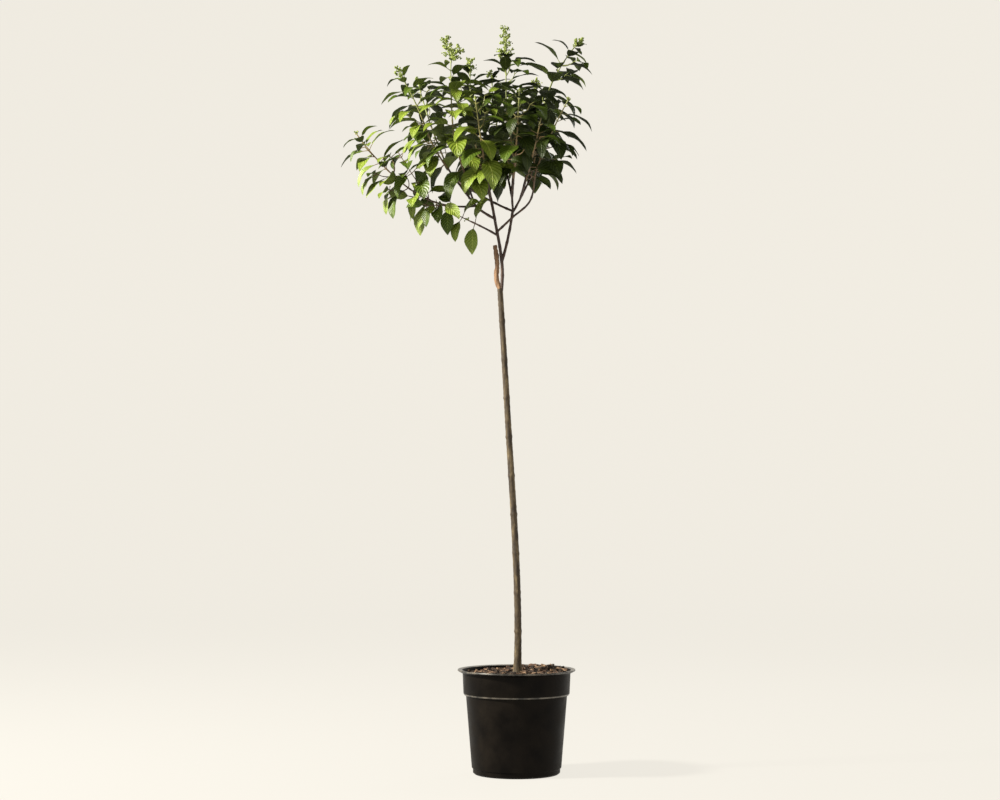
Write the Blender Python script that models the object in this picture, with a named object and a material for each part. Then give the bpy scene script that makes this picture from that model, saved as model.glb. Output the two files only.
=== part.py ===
"""Potted panicle hydrangea grown as a standard: one bare stem, an open leafy crown, a round pot.

The stem rises out of the mulch and forks beside the cut-off end of its old leader. Two leaders
carry the boughs, and each bough runs into one mass of foliage: a leafy shoot with crossed pairs
of leaves, a few side twigs and a panicle of green buds at its tip. Metres, +Z up, with the
origin under the middle of the pot.
"""

import math
import random

import bmesh
import bpy
from mathutils import Matrix, Vector, noise
from mathutils.bvhtree import BVHTree
from mathutils.geometry import interpolate_bezier

# Gap between pieces that touch.
GAP = 0.0003

# Pot, a turned plastic shell: radii of its outer face and the heights they belong to.
POT_SEGMENTS = 32
POT_SOLE_R = 0.0860
POT_FOOT_R = 0.0895
POT_FOOT_H = 0.0110
POT_WALL_LOW_R = 0.0920
POT_WALL_LOW_H = 0.0130
POT_WALL_TOP_R = 0.1040
POT_WALL_TOP_H = 0.1590
POT_BAND_LOW_R = 0.1092
POT_BAND_LOW_H = 0.1640
POT_BAND_TOP_R = 0.1110
POT_BAND_TOP_H = 0.2050
POT_LIP_R = 0.1213
POT_LIP_H = 0.2130
POT_LIP_DROP = 0.0035
POT_WALL = 0.0018
POT_SOLE = 0.0032
DRAIN_COUNT = 6
DRAIN_R = 0.0060
DRAIN_RING_R = 0.0640
DRAIN_SIDES = 12

# Potting mix with bark mulch on top, heaped a little towards the right and the back.
SOIL_TOP = 0.2060
SOIL_EDGE_DROP = 0.0040
SOIL_HEAP = 0.0075
SOIL_LUMP = 0.0022
SOIL_LUMP_SIZE = 0.0110
SOIL_RINGS = 4
SOIL_SEED = 5.3

# Stem: its foot, its bow and its fork, with a thickness at each end and a flare at the mulch.
STEM_POINTS = ((0.002, 0.000, 0.2063), (0.002, 0.000, 0.360), (-0.019, 0.000, 0.751), (-0.034, 0.000, 0.999))
STEM_FOOT_R = 0.0074
STEM_FORK_R = 0.0058
STEM_FLARE = 0.0028
STEM_FLARE_H = 0.0160
STEM_SIDES = 8
KNOT_FIRST_H = 0.290
KNOT_SPACING = 0.0803
KNOT_COUNT = 9
KNOT_SWELL = 0.0009
KNOT_HALF_H = 0.0045

# Old leader, cut off above the fork.
STUB_POINTS = ((-0.0342, 0.000, 0.9993), (-0.041, 0.001, 1.020), (-0.040, 0.001, 1.050), (-0.045, 0.000, 1.090))
STUB_RADII = (0.0056, 0.0050, 0.0047, 0.0052, 0.0041)
STUB_SIDES = 8

# Limbs that carry the boughs: what each grows from, whether it goes on from that limb's tip,
# its course, and its radius at the foot and at the tip.
LEADERS = {
    "left_leader": ("stem", False, ((-0.032, -0.001, 0.984), (-0.029, -0.002, 1.030), (-0.032, -0.001, 1.070),
                                    (-0.045, 0.000, 1.145), (-0.053, 0.000, 1.189)), 0.0036, 0.0029),
    "right_leader": ("left_leader", False, ((-0.030, 0.000, 1.055), (-0.016, 0.012, 1.113),
                                            (-0.007, 0.014, 1.168)), 0.0031, 0.0027),
    "left_limb": ("left_leader", False, ((-0.045, 0.000, 1.145), (-0.066, -0.005, 1.157),
                                         (-0.086, -0.010, 1.171)), 0.0028, 0.0025),
}
LEADER_SIDES = 8

# Shoots: what each grows from, whether it goes on from that limb's tip, its course from foot to
# tip, the length of its bare bough, the degrees its first pair of leaves is turned by, the
# length of its largest leaves and the length of its panicle.
SHOOTS = {
    "far_left": ("left_limb", True, ((-0.086, -0.010, 1.171), (-0.138, -0.020, 1.170), (-0.189, -0.030, 1.184),
                                     (-0.249, -0.030, 1.226), (-0.333, -0.030, 1.320)), 0.040, 90, 0.078, 0.000),
    "tall_left": ("left_limb", False, ((-0.085, -0.010, 1.171), (-0.104, -0.040, 1.224), (-0.127, -0.070, 1.300),
                                       (-0.134, -0.088, 1.387), (-0.134, -0.092, 1.463)), 0.050, 20, 0.082, 0.045),
    "upper_left": ("left_limb", False, ((-0.080, -0.008, 1.168), (-0.127, -0.020, 1.226), (-0.170, -0.040, 1.288),
                                        (-0.204, -0.060, 1.368), (-0.236, -0.070, 1.430)), 0.105, 60, 0.080, 0.022),
    "centre": ("right_leader", True, ((-0.007, 0.014, 1.168), (-0.009, 0.012, 1.208), (-0.005, 0.010, 1.271),
                                      (-0.018, 0.000, 1.353), (-0.020, -0.010, 1.485)), 0.058, 15, 0.082, 0.060),
    "right": ("right_leader", False, ((-0.008, 0.014, 1.160), (0.010, 0.020, 1.194), (0.033, 0.030, 1.247),
                                      (0.044, 0.050, 1.325), (0.072, 0.070, 1.436), (0.128, 0.080, 1.530)),
              0.105, 0, 0.082, 0.018),
    "outer_right": ("left_leader", False, ((-0.039, 0.000, 1.119), (-0.009, -0.018, 1.145), (0.028, -0.030, 1.178),
                                           (0.040, -0.050, 1.235), (0.067, -0.070, 1.302), (0.107, -0.080, 1.381)),
                    0.125, 25, 0.082, 0.000),
    "inner_left": ("right_leader", False, ((-0.007, 0.014, 1.163), (-0.038, 0.030, 1.180), (-0.087, 0.050, 1.210),
                                           (-0.130, 0.070, 1.243), (-0.162, 0.100, 1.309), (-0.208, 0.128, 1.450)),
                   0.190, 40, 0.078, 0.020),
    "back_left": ("left_leader", False, ((-0.050, 0.000, 1.172), (-0.068, 0.050, 1.246), (-0.090, 0.115, 1.345),
                                         (-0.099, 0.148, 1.490)), 0.080, 70, 0.080, 0.024),
    "front_left": ("left_leader", True, ((-0.053, 0.000, 1.189), (-0.060, -0.035, 1.222), (-0.070, -0.090, 1.275),
                                         (-0.084, -0.140, 1.370)), 0.050, 35, 0.080, 0.000),
    "front_centre": ("centre", False, ((-0.009, 0.012, 1.190), (-0.006, -0.030, 1.220), (-0.001, -0.095, 1.275),
                                       (0.005, -0.150, 1.385)), 0.060, 55, 0.078, 0.000),
    "front_right": ("right", False, ((0.006, 0.018, 1.187), (0.018, -0.030, 1.215), (0.034, -0.100, 1.265),
                                     (0.050, -0.150, 1.335)), 0.070, 10, 0.078, 0.000),
    "back_centre": ("centre", False, ((-0.009, 0.012, 1.193), (-0.018, 0.055, 1.245), (-0.036, 0.125, 1.335),
                                      (-0.052, 0.170, 1.475)), 0.070, 30, 0.080, 0.022),
    "back_right": ("right", False, ((0.008, 0.019, 1.190), (0.020, 0.060, 1.240), (0.034, 0.120, 1.320),
                                    (0.044, 0.160, 1.455)), 0.075, 75, 0.080, 0.020),
    "low_left": ("left_leader", False, ((-0.038, 0.000, 1.112), (-0.067, -0.010, 1.125), (-0.104, -0.022, 1.141)),
                 0.045, 95, 0.068, 0.000),
}

# Long side twigs inside a mass: the shoot they branch from and their course.
SIDE_SHOOTS = {
    "far_left": ((-0.183, -0.030, 1.184), (-0.219, -0.058, 1.236), (-0.243, -0.078, 1.272)),
}

BOUGH_FOOT_R = 0.0025
BOUGH_TIP_R = 0.0019
BOUGH_SIDES = 6
SHOOT_TIP_R = 0.0011
SHOOT_SIDES = 4
PATH_STEP = 0.022
SEED = 14

# Leaf rule: pairs stand closer, shorter and steeper towards the tip of a shoot.
PAIR_SPACING_LOW = 0.042
PAIR_SPACING_HIGH = 0.024
FIRST_PAIR = 0.012
LAST_PAIR_BEFORE_TIP = 0.006
LEAF_WIDTH = 0.48
YOUNG_LEAF_WIDTH = 0.38
LEAF_THICKNESS = 0.020
LEAF_STEPS = 12
LEAF_STATIONS = (2, 5, 9)
STALK_HALF = 0.0008
RISE_LOW = -4
RISE_HIGH = 42
DROOP_LOW = 78
DROOP_HIGH = 68
TWIST_SHARE = 0.16
TWIST_LIMIT = 7
TURN_SPREAD = 12
BEND_SPREAD = 9
ROLL_SPREAD = 20
TRIES = 6
CLEARANCE = 0.0006

# Side twigs: the chance of one beside a leaf, their length and their leaves.
TWIG_CHANCE = 0.16
TWIG_LENGTH = 0.034
TWIG_R = 0.0010
TWIG_LEAF = 0.70
TWIG_SIDES = 3

# Panicles: balls of buds in crossed pairs along the axis.
BUD_R = 0.0042
BUD_REACH = 0.0095
BUD_SPACING = 0.014

DOWN = Vector((0.0, 0.0, -1.0))
LIGHT = Vector((-0.20, -0.55, 0.81))
KEEL_DOWN = Matrix.Rotation(math.pi, 4, "Z")


def clear_scene():
    for obj in list(bpy.data.objects):
        bpy.data.objects.remove(obj)


def make_material(name, colour, roughness):
    material = bpy.data.materials.new(name)
    material.use_nodes = True
    shader = material.node_tree.nodes["Principled BSDF"]
    shader.inputs["Base Color"].default_value = (*colour, 1.0)
    shader.inputs["Roughness"].default_value = roughness
    shader.inputs["Metallic"].default_value = 0.0
    return material


def make_object(name, bm, material, sharp_degrees=40):
    """The bmesh as a named object, faces out and smooth but for edges sharper than the angle."""
    bmesh.ops.recalc_face_normals(bm, faces=bm.faces)
    mesh = bpy.data.meshes.new(name)
    bm.to_mesh(mesh)
    bm.free()
    mesh.materials.append(material)
    mesh.shade_smooth()
    mesh.set_sharp_from_angle(angle=math.radians(sharp_degrees))
    obj = bpy.data.objects.new(name, mesh)
    bpy.context.scene.collection.objects.link(obj)
    return obj


def blend(low, high, share):
    return low + (high - low) * share


def ease(share):
    share = min(max(share, 0.0), 1.0)
    return share * share * (3.0 - 2.0 * share)


# Courses, as lists of points along a smooth curve

def evenly(points, step):
    """The line through the points, with its points put an equal distance apart."""
    lengths = [0.0]
    for a, b in zip(points, points[1:]):
        lengths.append(lengths[-1] + (b - a).length)
    count = max(2, round(lengths[-1] / step))
    spaced = []
    k = 0
    for n in range(count + 1):
        target = lengths[-1] * n / count
        while k < len(points) - 2 and lengths[k + 1] < target:
            k += 1
        stretch = max(lengths[k + 1] - lengths[k], 1e-9)
        spaced.append(points[k].lerp(points[k + 1], (target - lengths[k]) / stretch))
    return spaced


def smooth_course(points, step):
    """A smooth curve through the points, read off every step or so."""
    points = [Vector(p) for p in points]
    chords = [(b - a).normalized() for a, b in zip(points, points[1:])]
    tangents = [(a + b).normalized() for a, b in zip(chords, chords[1:])]
    first = (2.0 * chords[0] - tangents[0]).normalized() if tangents else chords[0]
    last = (2.0 * chords[-1] - tangents[-1]).normalized() if tangents else chords[-1]
    tangents = [first, *tangents, last]
    fine = [points[0]]
    for a, b, leaving, arriving in zip(points, points[1:], tangents, tangents[1:]):
        reach = (b - a).length / 3.0
        fine += interpolate_bezier(a, a + leaving * reach, b - arriving * reach, b, 16)[1:]
    return evenly(fine, step)


def course_length(course):
    return sum((b - a).length for a, b in zip(course, course[1:]))


def point_at(course, distance):
    """The point that lies this far along the course, and the direction there."""
    for a, b in zip(course, course[1:]):
        stretch = (b - a).length
        if distance <= stretch:
            return a.lerp(b, distance / stretch), (b - a).normalized()
        distance -= stretch
    return course[-1].copy(), (course[-1] - course[-2]).normalized()


def part_of(course, start, end):
    """The stretch of the course between two distances along it."""
    inner = []
    run = 0.0
    for a, b in zip(course, course[1:]):
        run += (b - a).length
        if start + PATH_STEP * 0.3 < run < end - PATH_STEP * 0.3:
            inner.append(b)
    return [point_at(course, start)[0], *inner, point_at(course, end)[0]]


def nearest_on(course, point):
    """The point of the course that lies nearest."""
    best = None
    for a, b in zip(course, course[1:]):
        span = b - a
        share = min(max((point - a).dot(span) / span.length_squared, 0.0), 1.0)
        found = a + span * share
        if best is None or (found - point).length < (best - point).length:
            best = found
    return best


def frames_along(course):
    """A matrix for each point, with Z along the course and no twist about it."""
    chords = [(b - a).normalized() for a, b in zip(course, course[1:])]
    between = [(a + b).normalized() for a, b in zip(chords, chords[1:])]
    directions = [chords[0], *between, chords[-1]]
    side = Vector((0.0, 1.0, 0.0)).cross(directions[0])
    frames = []
    for point, direction in zip(course, directions):
        side = (side - direction * side.dot(direction)).normalized()
        frame = Matrix((side, direction.cross(side), direction)).transposed().to_4x4()
        frame.translation = point
        frames.append(frame)
    return frames


# Tubes and leaves, as rings bridged one to the next

def add_ring(bm, frame, across, through, sides):
    """A ring of the given half sizes in the frame's XY plane."""
    squash = Matrix.Diagonal((across, through, 1.0, 1.0))
    ring = bmesh.ops.create_circle(bm, segments=sides, radius=1.0, matrix=frame @ squash)
    return ring["verts"]


def ring_edges(ring):
    edges = {edge for vert in ring for edge in vert.link_edges if edge.other_vert(vert) in ring}
    return [edge for edge in edges if not edge.link_faces]


def bridge_rings(bm, rings):
    """Joins ring to ring, and closes the first and the last."""
    edges = [ring_edges(ring) for ring in rings]
    for first, second in zip(edges, edges[1:]):
        bmesh.ops.bridge_loops(bm, edges=first + second)
    for ends in (edges[0], edges[-1]):
        bmesh.ops.contextual_create(bm, geom=ends)


def tube_mesh(course, radii, sides):
    bm = bmesh.new()
    rings = [add_ring(bm, frame, r, r, sides) for frame, r in zip(frames_along(course), radii)]
    bridge_rings(bm, rings)
    bmesh.ops.recalc_face_normals(bm, faces=bm.faces)
    return bm


def tapered(course, foot_r, tip_r):
    """A radius for each point of the course, falling evenly from foot to tip."""
    count = len(course) - 1
    return [blend(foot_r, tip_r, k / count) for k in range(count + 1)]


def leaf_outline(share):
    """Half the blade's width at a share of the blade's length, as a share of its greatest half width."""
    return math.sin(math.pi * share ** 0.78) ** 0.9 if 0.0 < share < 1.0 else 0.0


def leaf_frames(foot, heading, up, length, droop, roll):
    """A frame at each step of a leaf's midrib: Y is the leaf's upper side, Z runs to its tip."""
    step = length / LEAF_STEPS
    stalk_steps = LEAF_STATIONS[0]
    place = foot.copy()
    heading = heading.normalized()
    up = (up - heading * up.dot(heading)).normalized()
    frames = []
    for k in range(LEAF_STEPS + 1):
        frame = Matrix((up.cross(heading), up, heading)).transposed().to_4x4()
        frame.translation = place
        frames.append(frame)
        turn = min(droop * (0.5 + k / LEAF_STEPS) / LEAF_STEPS, 0.6 * heading.angle(DOWN))
        axis = heading.cross(DOWN)
        if axis.length > 0.02:
            bend = Matrix.Rotation(turn, 3, axis.normalized())
            heading = (bend @ heading).normalized()
            up = bend @ up
        twist = roll / stalk_steps if k < stalk_steps else turn_to_light(heading, up)
        up = Matrix.Rotation(twist, 3, heading) @ up
        up = (up - heading * up.dot(heading)).normalized()
        place = place + heading * step
    return frames


def turn_to_light(heading, up):
    """The twist of one step, which brings the blade's upper side a little nearer the light."""
    light = LIGHT - heading * LIGHT.dot(heading)
    angle = up.angle(light, 0.0)
    if heading.dot(up.cross(light)) < 0.0:
        angle = -angle
    limit = math.radians(TWIST_LIMIT)
    return min(max(TWIST_SHARE * light.length * angle, -limit), limit)


def leaf_mesh(frames, length, width, swell=0.0, blade_only=False):
    """A closed leaf of few faces: a root, a stalk, a folded blade and a pointed tip."""
    bm = bmesh.new()
    stalk_end = LEAF_STATIONS[0]
    stations = LEAF_STATIONS if blade_only else (0, *LEAF_STATIONS)
    rings = []
    for k in stations:
        share = (k - stalk_end) / (LEAF_STEPS - stalk_end)
        half = max(0.5 * width * length * leaf_outline(share), STALK_HALF)
        thick = STALK_HALF if share <= 0.0 else 0.5 * LEAF_THICKNESS * length
        ring = add_ring(bm, frames[k] @ KEEL_DOWN, (half + swell) / math.sin(math.tau / 3), thick + swell, 3)
        rings.append(ring)
    tip = add_ring(bm, frames[-1] @ KEEL_DOWN, STALK_HALF, STALK_HALF, 3)
    bridge_rings(bm, [*rings, tip])
    bmesh.ops.pointmerge(bm, verts=tip, merge_co=frames[-1].translation)
    bmesh.ops.recalc_face_normals(bm, faces=bm.faces)
    return bm


# What is already grown, so that nothing grows through it

class Grown:
    """Every limb, twig and leaf so far, each with the mass it belongs to."""

    def __init__(self):
        self.things = []

    def add(self, owner, whole, outer):
        self.things.append((owner, whole, outer))

    def is_free(self, owner, whole, outer):
        """True if the whole piece clears the other masses, and all but its root clears its own mass."""
        for other, other_whole, other_outer in self.things:
            if other != owner:
                if meet(whole, other_whole):
                    return False
            elif meet(outer, other_whole) or meet(whole, other_outer):
                return False
        return True


def meet(first, second):
    """Whether two probes cross. A piece with no outer part meets nothing."""
    if first is None or second is None:
        return False
    return (first[1] - second[1]).length < first[2] + second[2] and bool(first[0].overlap(second[0]))


def probe(bm):
    """A search tree of the mesh with its middle and reach. It uses the bmesh up."""
    middle = sum((vert.co for vert in bm.verts), Vector()) / len(bm.verts)
    reach = max((vert.co - middle).length for vert in bm.verts)
    tree = BVHTree.FromBMesh(bm)
    bm.free()
    return tree, middle, reach


# Joining and cutting

def apply_modifiers(obj):
    bpy.context.view_layer.update()
    graph = bpy.context.evaluated_depsgraph_get()
    mesh = bpy.data.meshes.new_from_object(obj.evaluated_get(graph))
    obj.modifiers.clear()
    obj.data = mesh


def boolean_with(obj, others, operation):
    """One Boolean on a collection of the other objects, applied, and the others removed."""
    group = bpy.data.collections.new(obj.name + "_group")
    bpy.context.scene.collection.children.link(group)
    for other in others:
        group.objects.link(other)
    modifier = obj.modifiers.new("boolean", "BOOLEAN")
    modifier.operation = operation
    modifier.operand_type = "COLLECTION"
    modifier.collection = group
    modifier.solver = "EXACT"
    apply_modifiers(obj)
    for other in others:
        bpy.data.objects.remove(other)
    bpy.data.collections.remove(group)


def keep_largest_body(obj):
    """Drops the scraps and fills the sealed hollows that a Boolean may leave, and shades the rest smooth."""
    bm = bmesh.new()
    bm.from_mesh(obj.data)
    bmesh.ops.remove_doubles(bm, verts=bm.verts, dist=1e-6)
    bodies = []
    seen = set()
    for first in bm.faces:
        if first in seen:
            continue
        seen.add(first)
        body = [first]
        for face in body:
            for edge in face.edges:
                for other in edge.link_faces if len(edge.link_faces) == 2 else ():
                    if other not in seen:
                        seen.add(other)
                        body.append(other)
        bodies.append(body)
    bodies.sort(key=len)
    for body in bodies[:-1]:
        bmesh.ops.delete(bm, geom=body, context="FACES")
    bm.to_mesh(obj.data)
    bm.free()
    obj.data.shade_smooth()
    obj.data.set_sharp_from_angle(angle=math.radians(50))


# Pot and soil

def turn_profile(profile, segments):
    """The profile of radii and heights, from axis to axis, turned once round Z."""
    bm = bmesh.new()
    verts = [bm.verts.new((r, 0.0, z)) for r, z in profile]
    edges = [bm.edges.new(pair) for pair in zip(verts, verts[1:])]
    bmesh.ops.spin(bm, geom=verts + edges, cent=(0, 0, 0), axis=(0, 0, 1), angle=math.tau,
                   steps=segments, use_merge=True)
    bmesh.ops.remove_doubles(bm, verts=bm.verts, dist=1e-6)
    return bm


def pot_outside():
    """The pot's outer face, from under its foot to the top of its lip."""
    lip_middle = POT_LIP_H - POT_LIP_DROP
    return [(POT_SOLE_R, 0.0), (POT_FOOT_R, 0.0030), (POT_FOOT_R, POT_FOOT_H),
            (POT_WALL_LOW_R, POT_WALL_LOW_H), (POT_WALL_TOP_R, POT_WALL_TOP_H),
            (POT_BAND_LOW_R - 0.0012, POT_WALL_TOP_H + 0.0020), (POT_BAND_LOW_R, POT_BAND_LOW_H),
            (POT_BAND_TOP_R, POT_BAND_TOP_H), (POT_LIP_R - 0.0010, lip_middle),
            (POT_LIP_R, lip_middle + 0.0012), (POT_LIP_R - 0.0008, POT_LIP_H)]


def pot_inside(gap):
    """The pot's inner face, from its mouth down to its floor, drawn in by the gap."""
    inset = POT_WALL + gap
    return [(POT_BAND_TOP_R - inset, POT_BAND_TOP_H), (POT_BAND_LOW_R - inset, POT_BAND_LOW_H + 0.0010),
            (POT_WALL_TOP_R - inset, POT_WALL_TOP_H + 0.0010), (POT_WALL_LOW_R - inset, POT_WALL_LOW_H),
            (POT_FOOT_R - inset - 0.0010, POT_SOLE + gap)]


def build_pot(material):
    mouth = (POT_BAND_TOP_R + 0.0010, POT_LIP_H - 0.0014)
    floor = (0.0, POT_SOLE)
    profile = [(0.0, 0.0), *pot_outside(), mouth, *pot_inside(0.0), floor]
    pot = make_object("pot", turn_profile(profile, POT_SEGMENTS), material)
    cutters = []
    for k in range(DRAIN_COUNT):
        angle = math.tau * (k + 0.5) / DRAIN_COUNT
        bm = bmesh.new()
        place = Matrix.Translation((DRAIN_RING_R * math.cos(angle), DRAIN_RING_R * math.sin(angle), 0.0))
        bmesh.ops.create_cone(bm, cap_ends=True, segments=DRAIN_SIDES, radius1=DRAIN_R, radius2=DRAIN_R,
                              depth=4.0 * POT_SOLE, matrix=place)
        cutters.append(make_object("drain_cutter", bm, material))
    boolean_with(pot, cutters, "DIFFERENCE")
    pot.data.shade_smooth()
    pot.data.set_sharp_from_angle(angle=math.radians(30))


def soil_height(x, y):
    """How far the mulch stands above or below its level at the stem."""
    radius = math.hypot(x, y)
    share = radius / POT_BAND_TOP_R
    heap = SOIL_HEAP * ease((x * 0.8 + y * 0.6) / POT_BAND_TOP_R) - SOIL_EDGE_DROP * ease(share)
    lump = SOIL_LUMP * noise.noise(Vector((x, y, SOIL_SEED)) / SOIL_LUMP_SIZE)
    return (heap + lump) * ease((radius - 0.012) / 0.020)


def build_soil(material):
    rim_r = POT_BAND_TOP_R - POT_WALL - GAP
    inside = pot_inside(GAP)
    top = [(rim_r * (1.0 - k / SOIL_RINGS) + 0.014 * k / SOIL_RINGS, SOIL_TOP) for k in range(SOIL_RINGS + 1)]
    below_rim = (inside[0][0] - 0.0006, SOIL_TOP - SOIL_EDGE_DROP - 2.0 * SOIL_LUMP)
    floor = (0.0, inside[-1][1])
    profile = [floor, *reversed(inside[1:]), inside[0], below_rim, *top[1:], (0.0, SOIL_TOP)]
    bm = turn_profile(profile, POT_SEGMENTS)
    for vert in bm.verts:
        if vert.co.z > SOIL_TOP - GAP:
            vert.co.z += soil_height(vert.co.x, vert.co.y)
    return make_object("soil", bm, material)


# Stem and limbs

def stem_radius(height):
    """The stem's radius: an even taper, a flare at the mulch and a swelling at each knot."""
    low, high = STEM_POINTS[0][2], STEM_POINTS[-1][2]
    radius = blend(STEM_FOOT_R, STEM_FORK_R, (height - low) / (high - low))
    radius += STEM_FLARE * math.exp(-(height - low) / STEM_FLARE_H)
    nearest = min(abs(height - knot) for knot in knot_heights())
    return radius + (KNOT_SWELL if nearest < 0.25 * KNOT_HALF_H else 0.0)


def knot_heights():
    return [KNOT_FIRST_H + KNOT_SPACING * k for k in range(KNOT_COUNT)]


def stem_course():
    """The stem's centre line, with points at its flare and about each knot."""
    fine = smooth_course(STEM_POINTS, 0.002)
    wanted = [STEM_POINTS[0][2] + rise for rise in (0.0, 0.006, 0.016, 0.034)]
    for knot in knot_heights():
        wanted += [knot - KNOT_HALF_H, knot, knot + KNOT_HALF_H, knot + 0.5 * KNOT_SPACING]
    wanted = [h for h in wanted if h < STEM_POINTS[-1][2] - 0.010] + [STEM_POINTS[-1][2]]
    course = []
    for height in wanted:
        below = max((p for p in fine if p.z <= height + 1e-6), key=lambda p: p.z)
        above = min((p for p in fine if p.z >= height - 1e-6), key=lambda p: p.z)
        share = (height - below.z) / max(above.z - below.z, 1e-9)
        course.append(below.lerp(above, share))
    return course


def grow_limb(name, course, radii, sides, limbs, material, kind=""):
    """A limb's solid, its foot cut clear of the limbs it grows from and between."""
    limb = make_object(name + kind, tube_mesh(course, radii, sides), material)
    cutters = []
    reach = probe(tube_mesh(course, [r + 2.0 * GAP for r in radii], sides))
    for other_course, other_radii, other_sides in limbs.values():
        wide = [r / math.cos(math.pi / other_sides) + GAP for r in other_radii]
        bm = tube_mesh(other_course, wide, other_sides)
        tree, _, _ = probe(bm.copy())
        if tree.overlap(reach[0]):
            cutters.append(make_object(name + "_cutter", bm, material))
        else:
            bm.free()
    if cutters:
        boolean_with(limb, cutters, "DIFFERENCE")
        keep_largest_body(limb)
    limbs[name] = (course, radii, sides)
    return limb


def course_from(parent_course, goes_on, points, step):
    """A course from its parent: on from the parent's tip, or from the nearest point of its centre line."""
    points = [Vector(p) for p in points]
    if goes_on:
        tip, direction = point_at(parent_course, course_length(parent_course))
        points[0] = tip + direction * GAP
    else:
        points[0] = nearest_on(parent_course, points[0])
    return smooth_course(points, step)


# Masses of foliage

def across(direction, degrees):
    """A unit vector square to the direction, turned about it from the side nearest the front."""
    front = Vector((0.0, -1.0, 0.0))
    side = (front - direction * front.dot(direction)).normalized()
    return Matrix.Rotation(math.radians(degrees), 3, direction) @ side


def pair_places(length, draw):
    """The distances along a leafy stretch at which its pairs of leaves stand."""
    places = []
    distance = FIRST_PAIR
    while distance < length - LAST_PAIR_BEFORE_TIP:
        places.append(distance)
        distance += blend(PAIR_SPACING_LOW, PAIR_SPACING_HIGH, distance / length) * draw.uniform(0.88, 1.12)
    return places


def leaf_size(share):
    """A leaf's length as a share of the largest, by its place along the shoot."""
    return 0.88 + 0.12 * ease(share / 0.35) - 0.50 * ease((share - 0.78) / 0.22)


def grow_leaf(owner, stem_point, stem_way, turn, share, size, grown, draw):
    """One leaf by the rule, tried a few times and skipped if it would touch what is grown."""
    length = size * draw.uniform(0.90, 1.08)
    width = blend(LEAF_WIDTH, YOUNG_LEAF_WIDTH, ease((share - 0.6) / 0.4))
    for _ in range(TRIES):
        outward = across(stem_way, turn + draw.gauss(0.0, TURN_SPREAD))
        rise = math.radians(blend(RISE_LOW, RISE_HIGH, share) + draw.gauss(0.0, BEND_SPREAD))
        droop = math.radians(blend(DROOP_LOW, DROOP_HIGH, share) + draw.gauss(0.0, 1.5 * BEND_SPREAD))
        roll = math.radians(draw.gauss(0.0, ROLL_SPREAD))
        heading = outward * math.cos(rise) + stem_way * math.sin(rise)
        upper = stem_way * math.cos(rise) - outward * math.sin(rise)
        root = stem_point - heading * STALK_HALF * 0.5
        frames = leaf_frames(root, heading, upper, length, droop, roll)
        whole = probe(leaf_mesh(frames, length, width, CLEARANCE))
        blade = probe(leaf_mesh(frames, length, width, CLEARANCE, blade_only=True))
        if grown.is_free(owner, whole, blade):
            grown.add(owner, whole, blade)
            return frames, length, width
    return None


def grow_shoot(owner, course, first_turn, leaf_length, grown, draw, twigs_too):
    """The leaves of one leafy stretch, with a side twig beside some of them."""
    leaves = []
    twigs = []
    length = course_length(course)
    for n, distance in enumerate(pair_places(length, draw)):
        share = distance / length
        point, way = point_at(course, distance)
        for side in (0, 180):
            turn = first_turn + 90 * n + side
            leaf = grow_leaf(owner, point, way, turn, share, leaf_length * leaf_size(share), grown, draw)
            if leaf:
                leaves.append(leaf)
            if not twigs_too or not 0.12 < share < 0.8 or draw.random() > TWIG_CHANCE:
                continue
            outward = across(way, turn + draw.gauss(0.0, TURN_SPREAD))
            reach = TWIG_LENGTH * draw.uniform(0.7, 1.2)
            twig = [point, point + (way * 0.55 + outward) * reach * 0.4, point + (way * 1.1 + outward) * reach * 0.7]
            twig = smooth_course(twig, TWIG_LENGTH * 0.5)
            bm = tube_mesh(twig, [TWIG_R + CLEARANCE] * len(twig), TWIG_SIDES)
            whole = probe(bm)
            end = part_of(twig, 0.35 * course_length(twig), course_length(twig))
            outer = probe(tube_mesh(end, [TWIG_R + CLEARANCE] * len(end), TWIG_SIDES))
            if not grown.is_free(owner, whole, outer):
                continue
            tip, twig_way = point_at(twig, course_length(twig))
            pair = [grow_leaf(owner, tip - twig_way * TWIG_R, twig_way, turn + twig_side, 0.6,
                              leaf_length * TWIG_LEAF, grown, draw) for twig_side in (90, 270)]
            if any(pair):
                grown.add(owner, whole, outer)
                twigs.append(twig)
                leaves += [leaf for leaf in pair if leaf]
    return leaves, twigs


def panicle_balls(course, length, draw):
    """Centres and radii of the balls of buds along the last stretch of the shoot."""
    tip, way = point_at(course, course_length(course))
    balls = []
    distance = 0.0
    n = 0
    while distance < length:
        share = distance / length
        reach = blend(BUD_REACH, BUD_R, share)
        for side in (0, 180):
            outward = across(way, 90 * n + side + draw.gauss(0.0, TURN_SPREAD))
            outward = (outward + way * 0.45).normalized()
            balls.append((tip + way * distance + outward * reach * 0.8, outward, reach))
        distance += BUD_SPACING
        n += 1
    balls.append((tip + way * length, way, BUD_R * 1.3))
    return balls


def bud_mesh(centre, outward, reach):
    """A faceted cluster of buds, longer along its branchlet than across."""
    turned = outward.to_track_quat("Z", "Y").to_matrix().to_4x4()
    stretched = turned @ Matrix.Diagonal((BUD_R, BUD_R, reach, 1.0))
    bm = bmesh.new()
    bmesh.ops.create_uvsphere(bm, u_segments=5, v_segments=2, radius=1.0,
                              matrix=Matrix.Translation(centre) @ stretched)
    return bm


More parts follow.
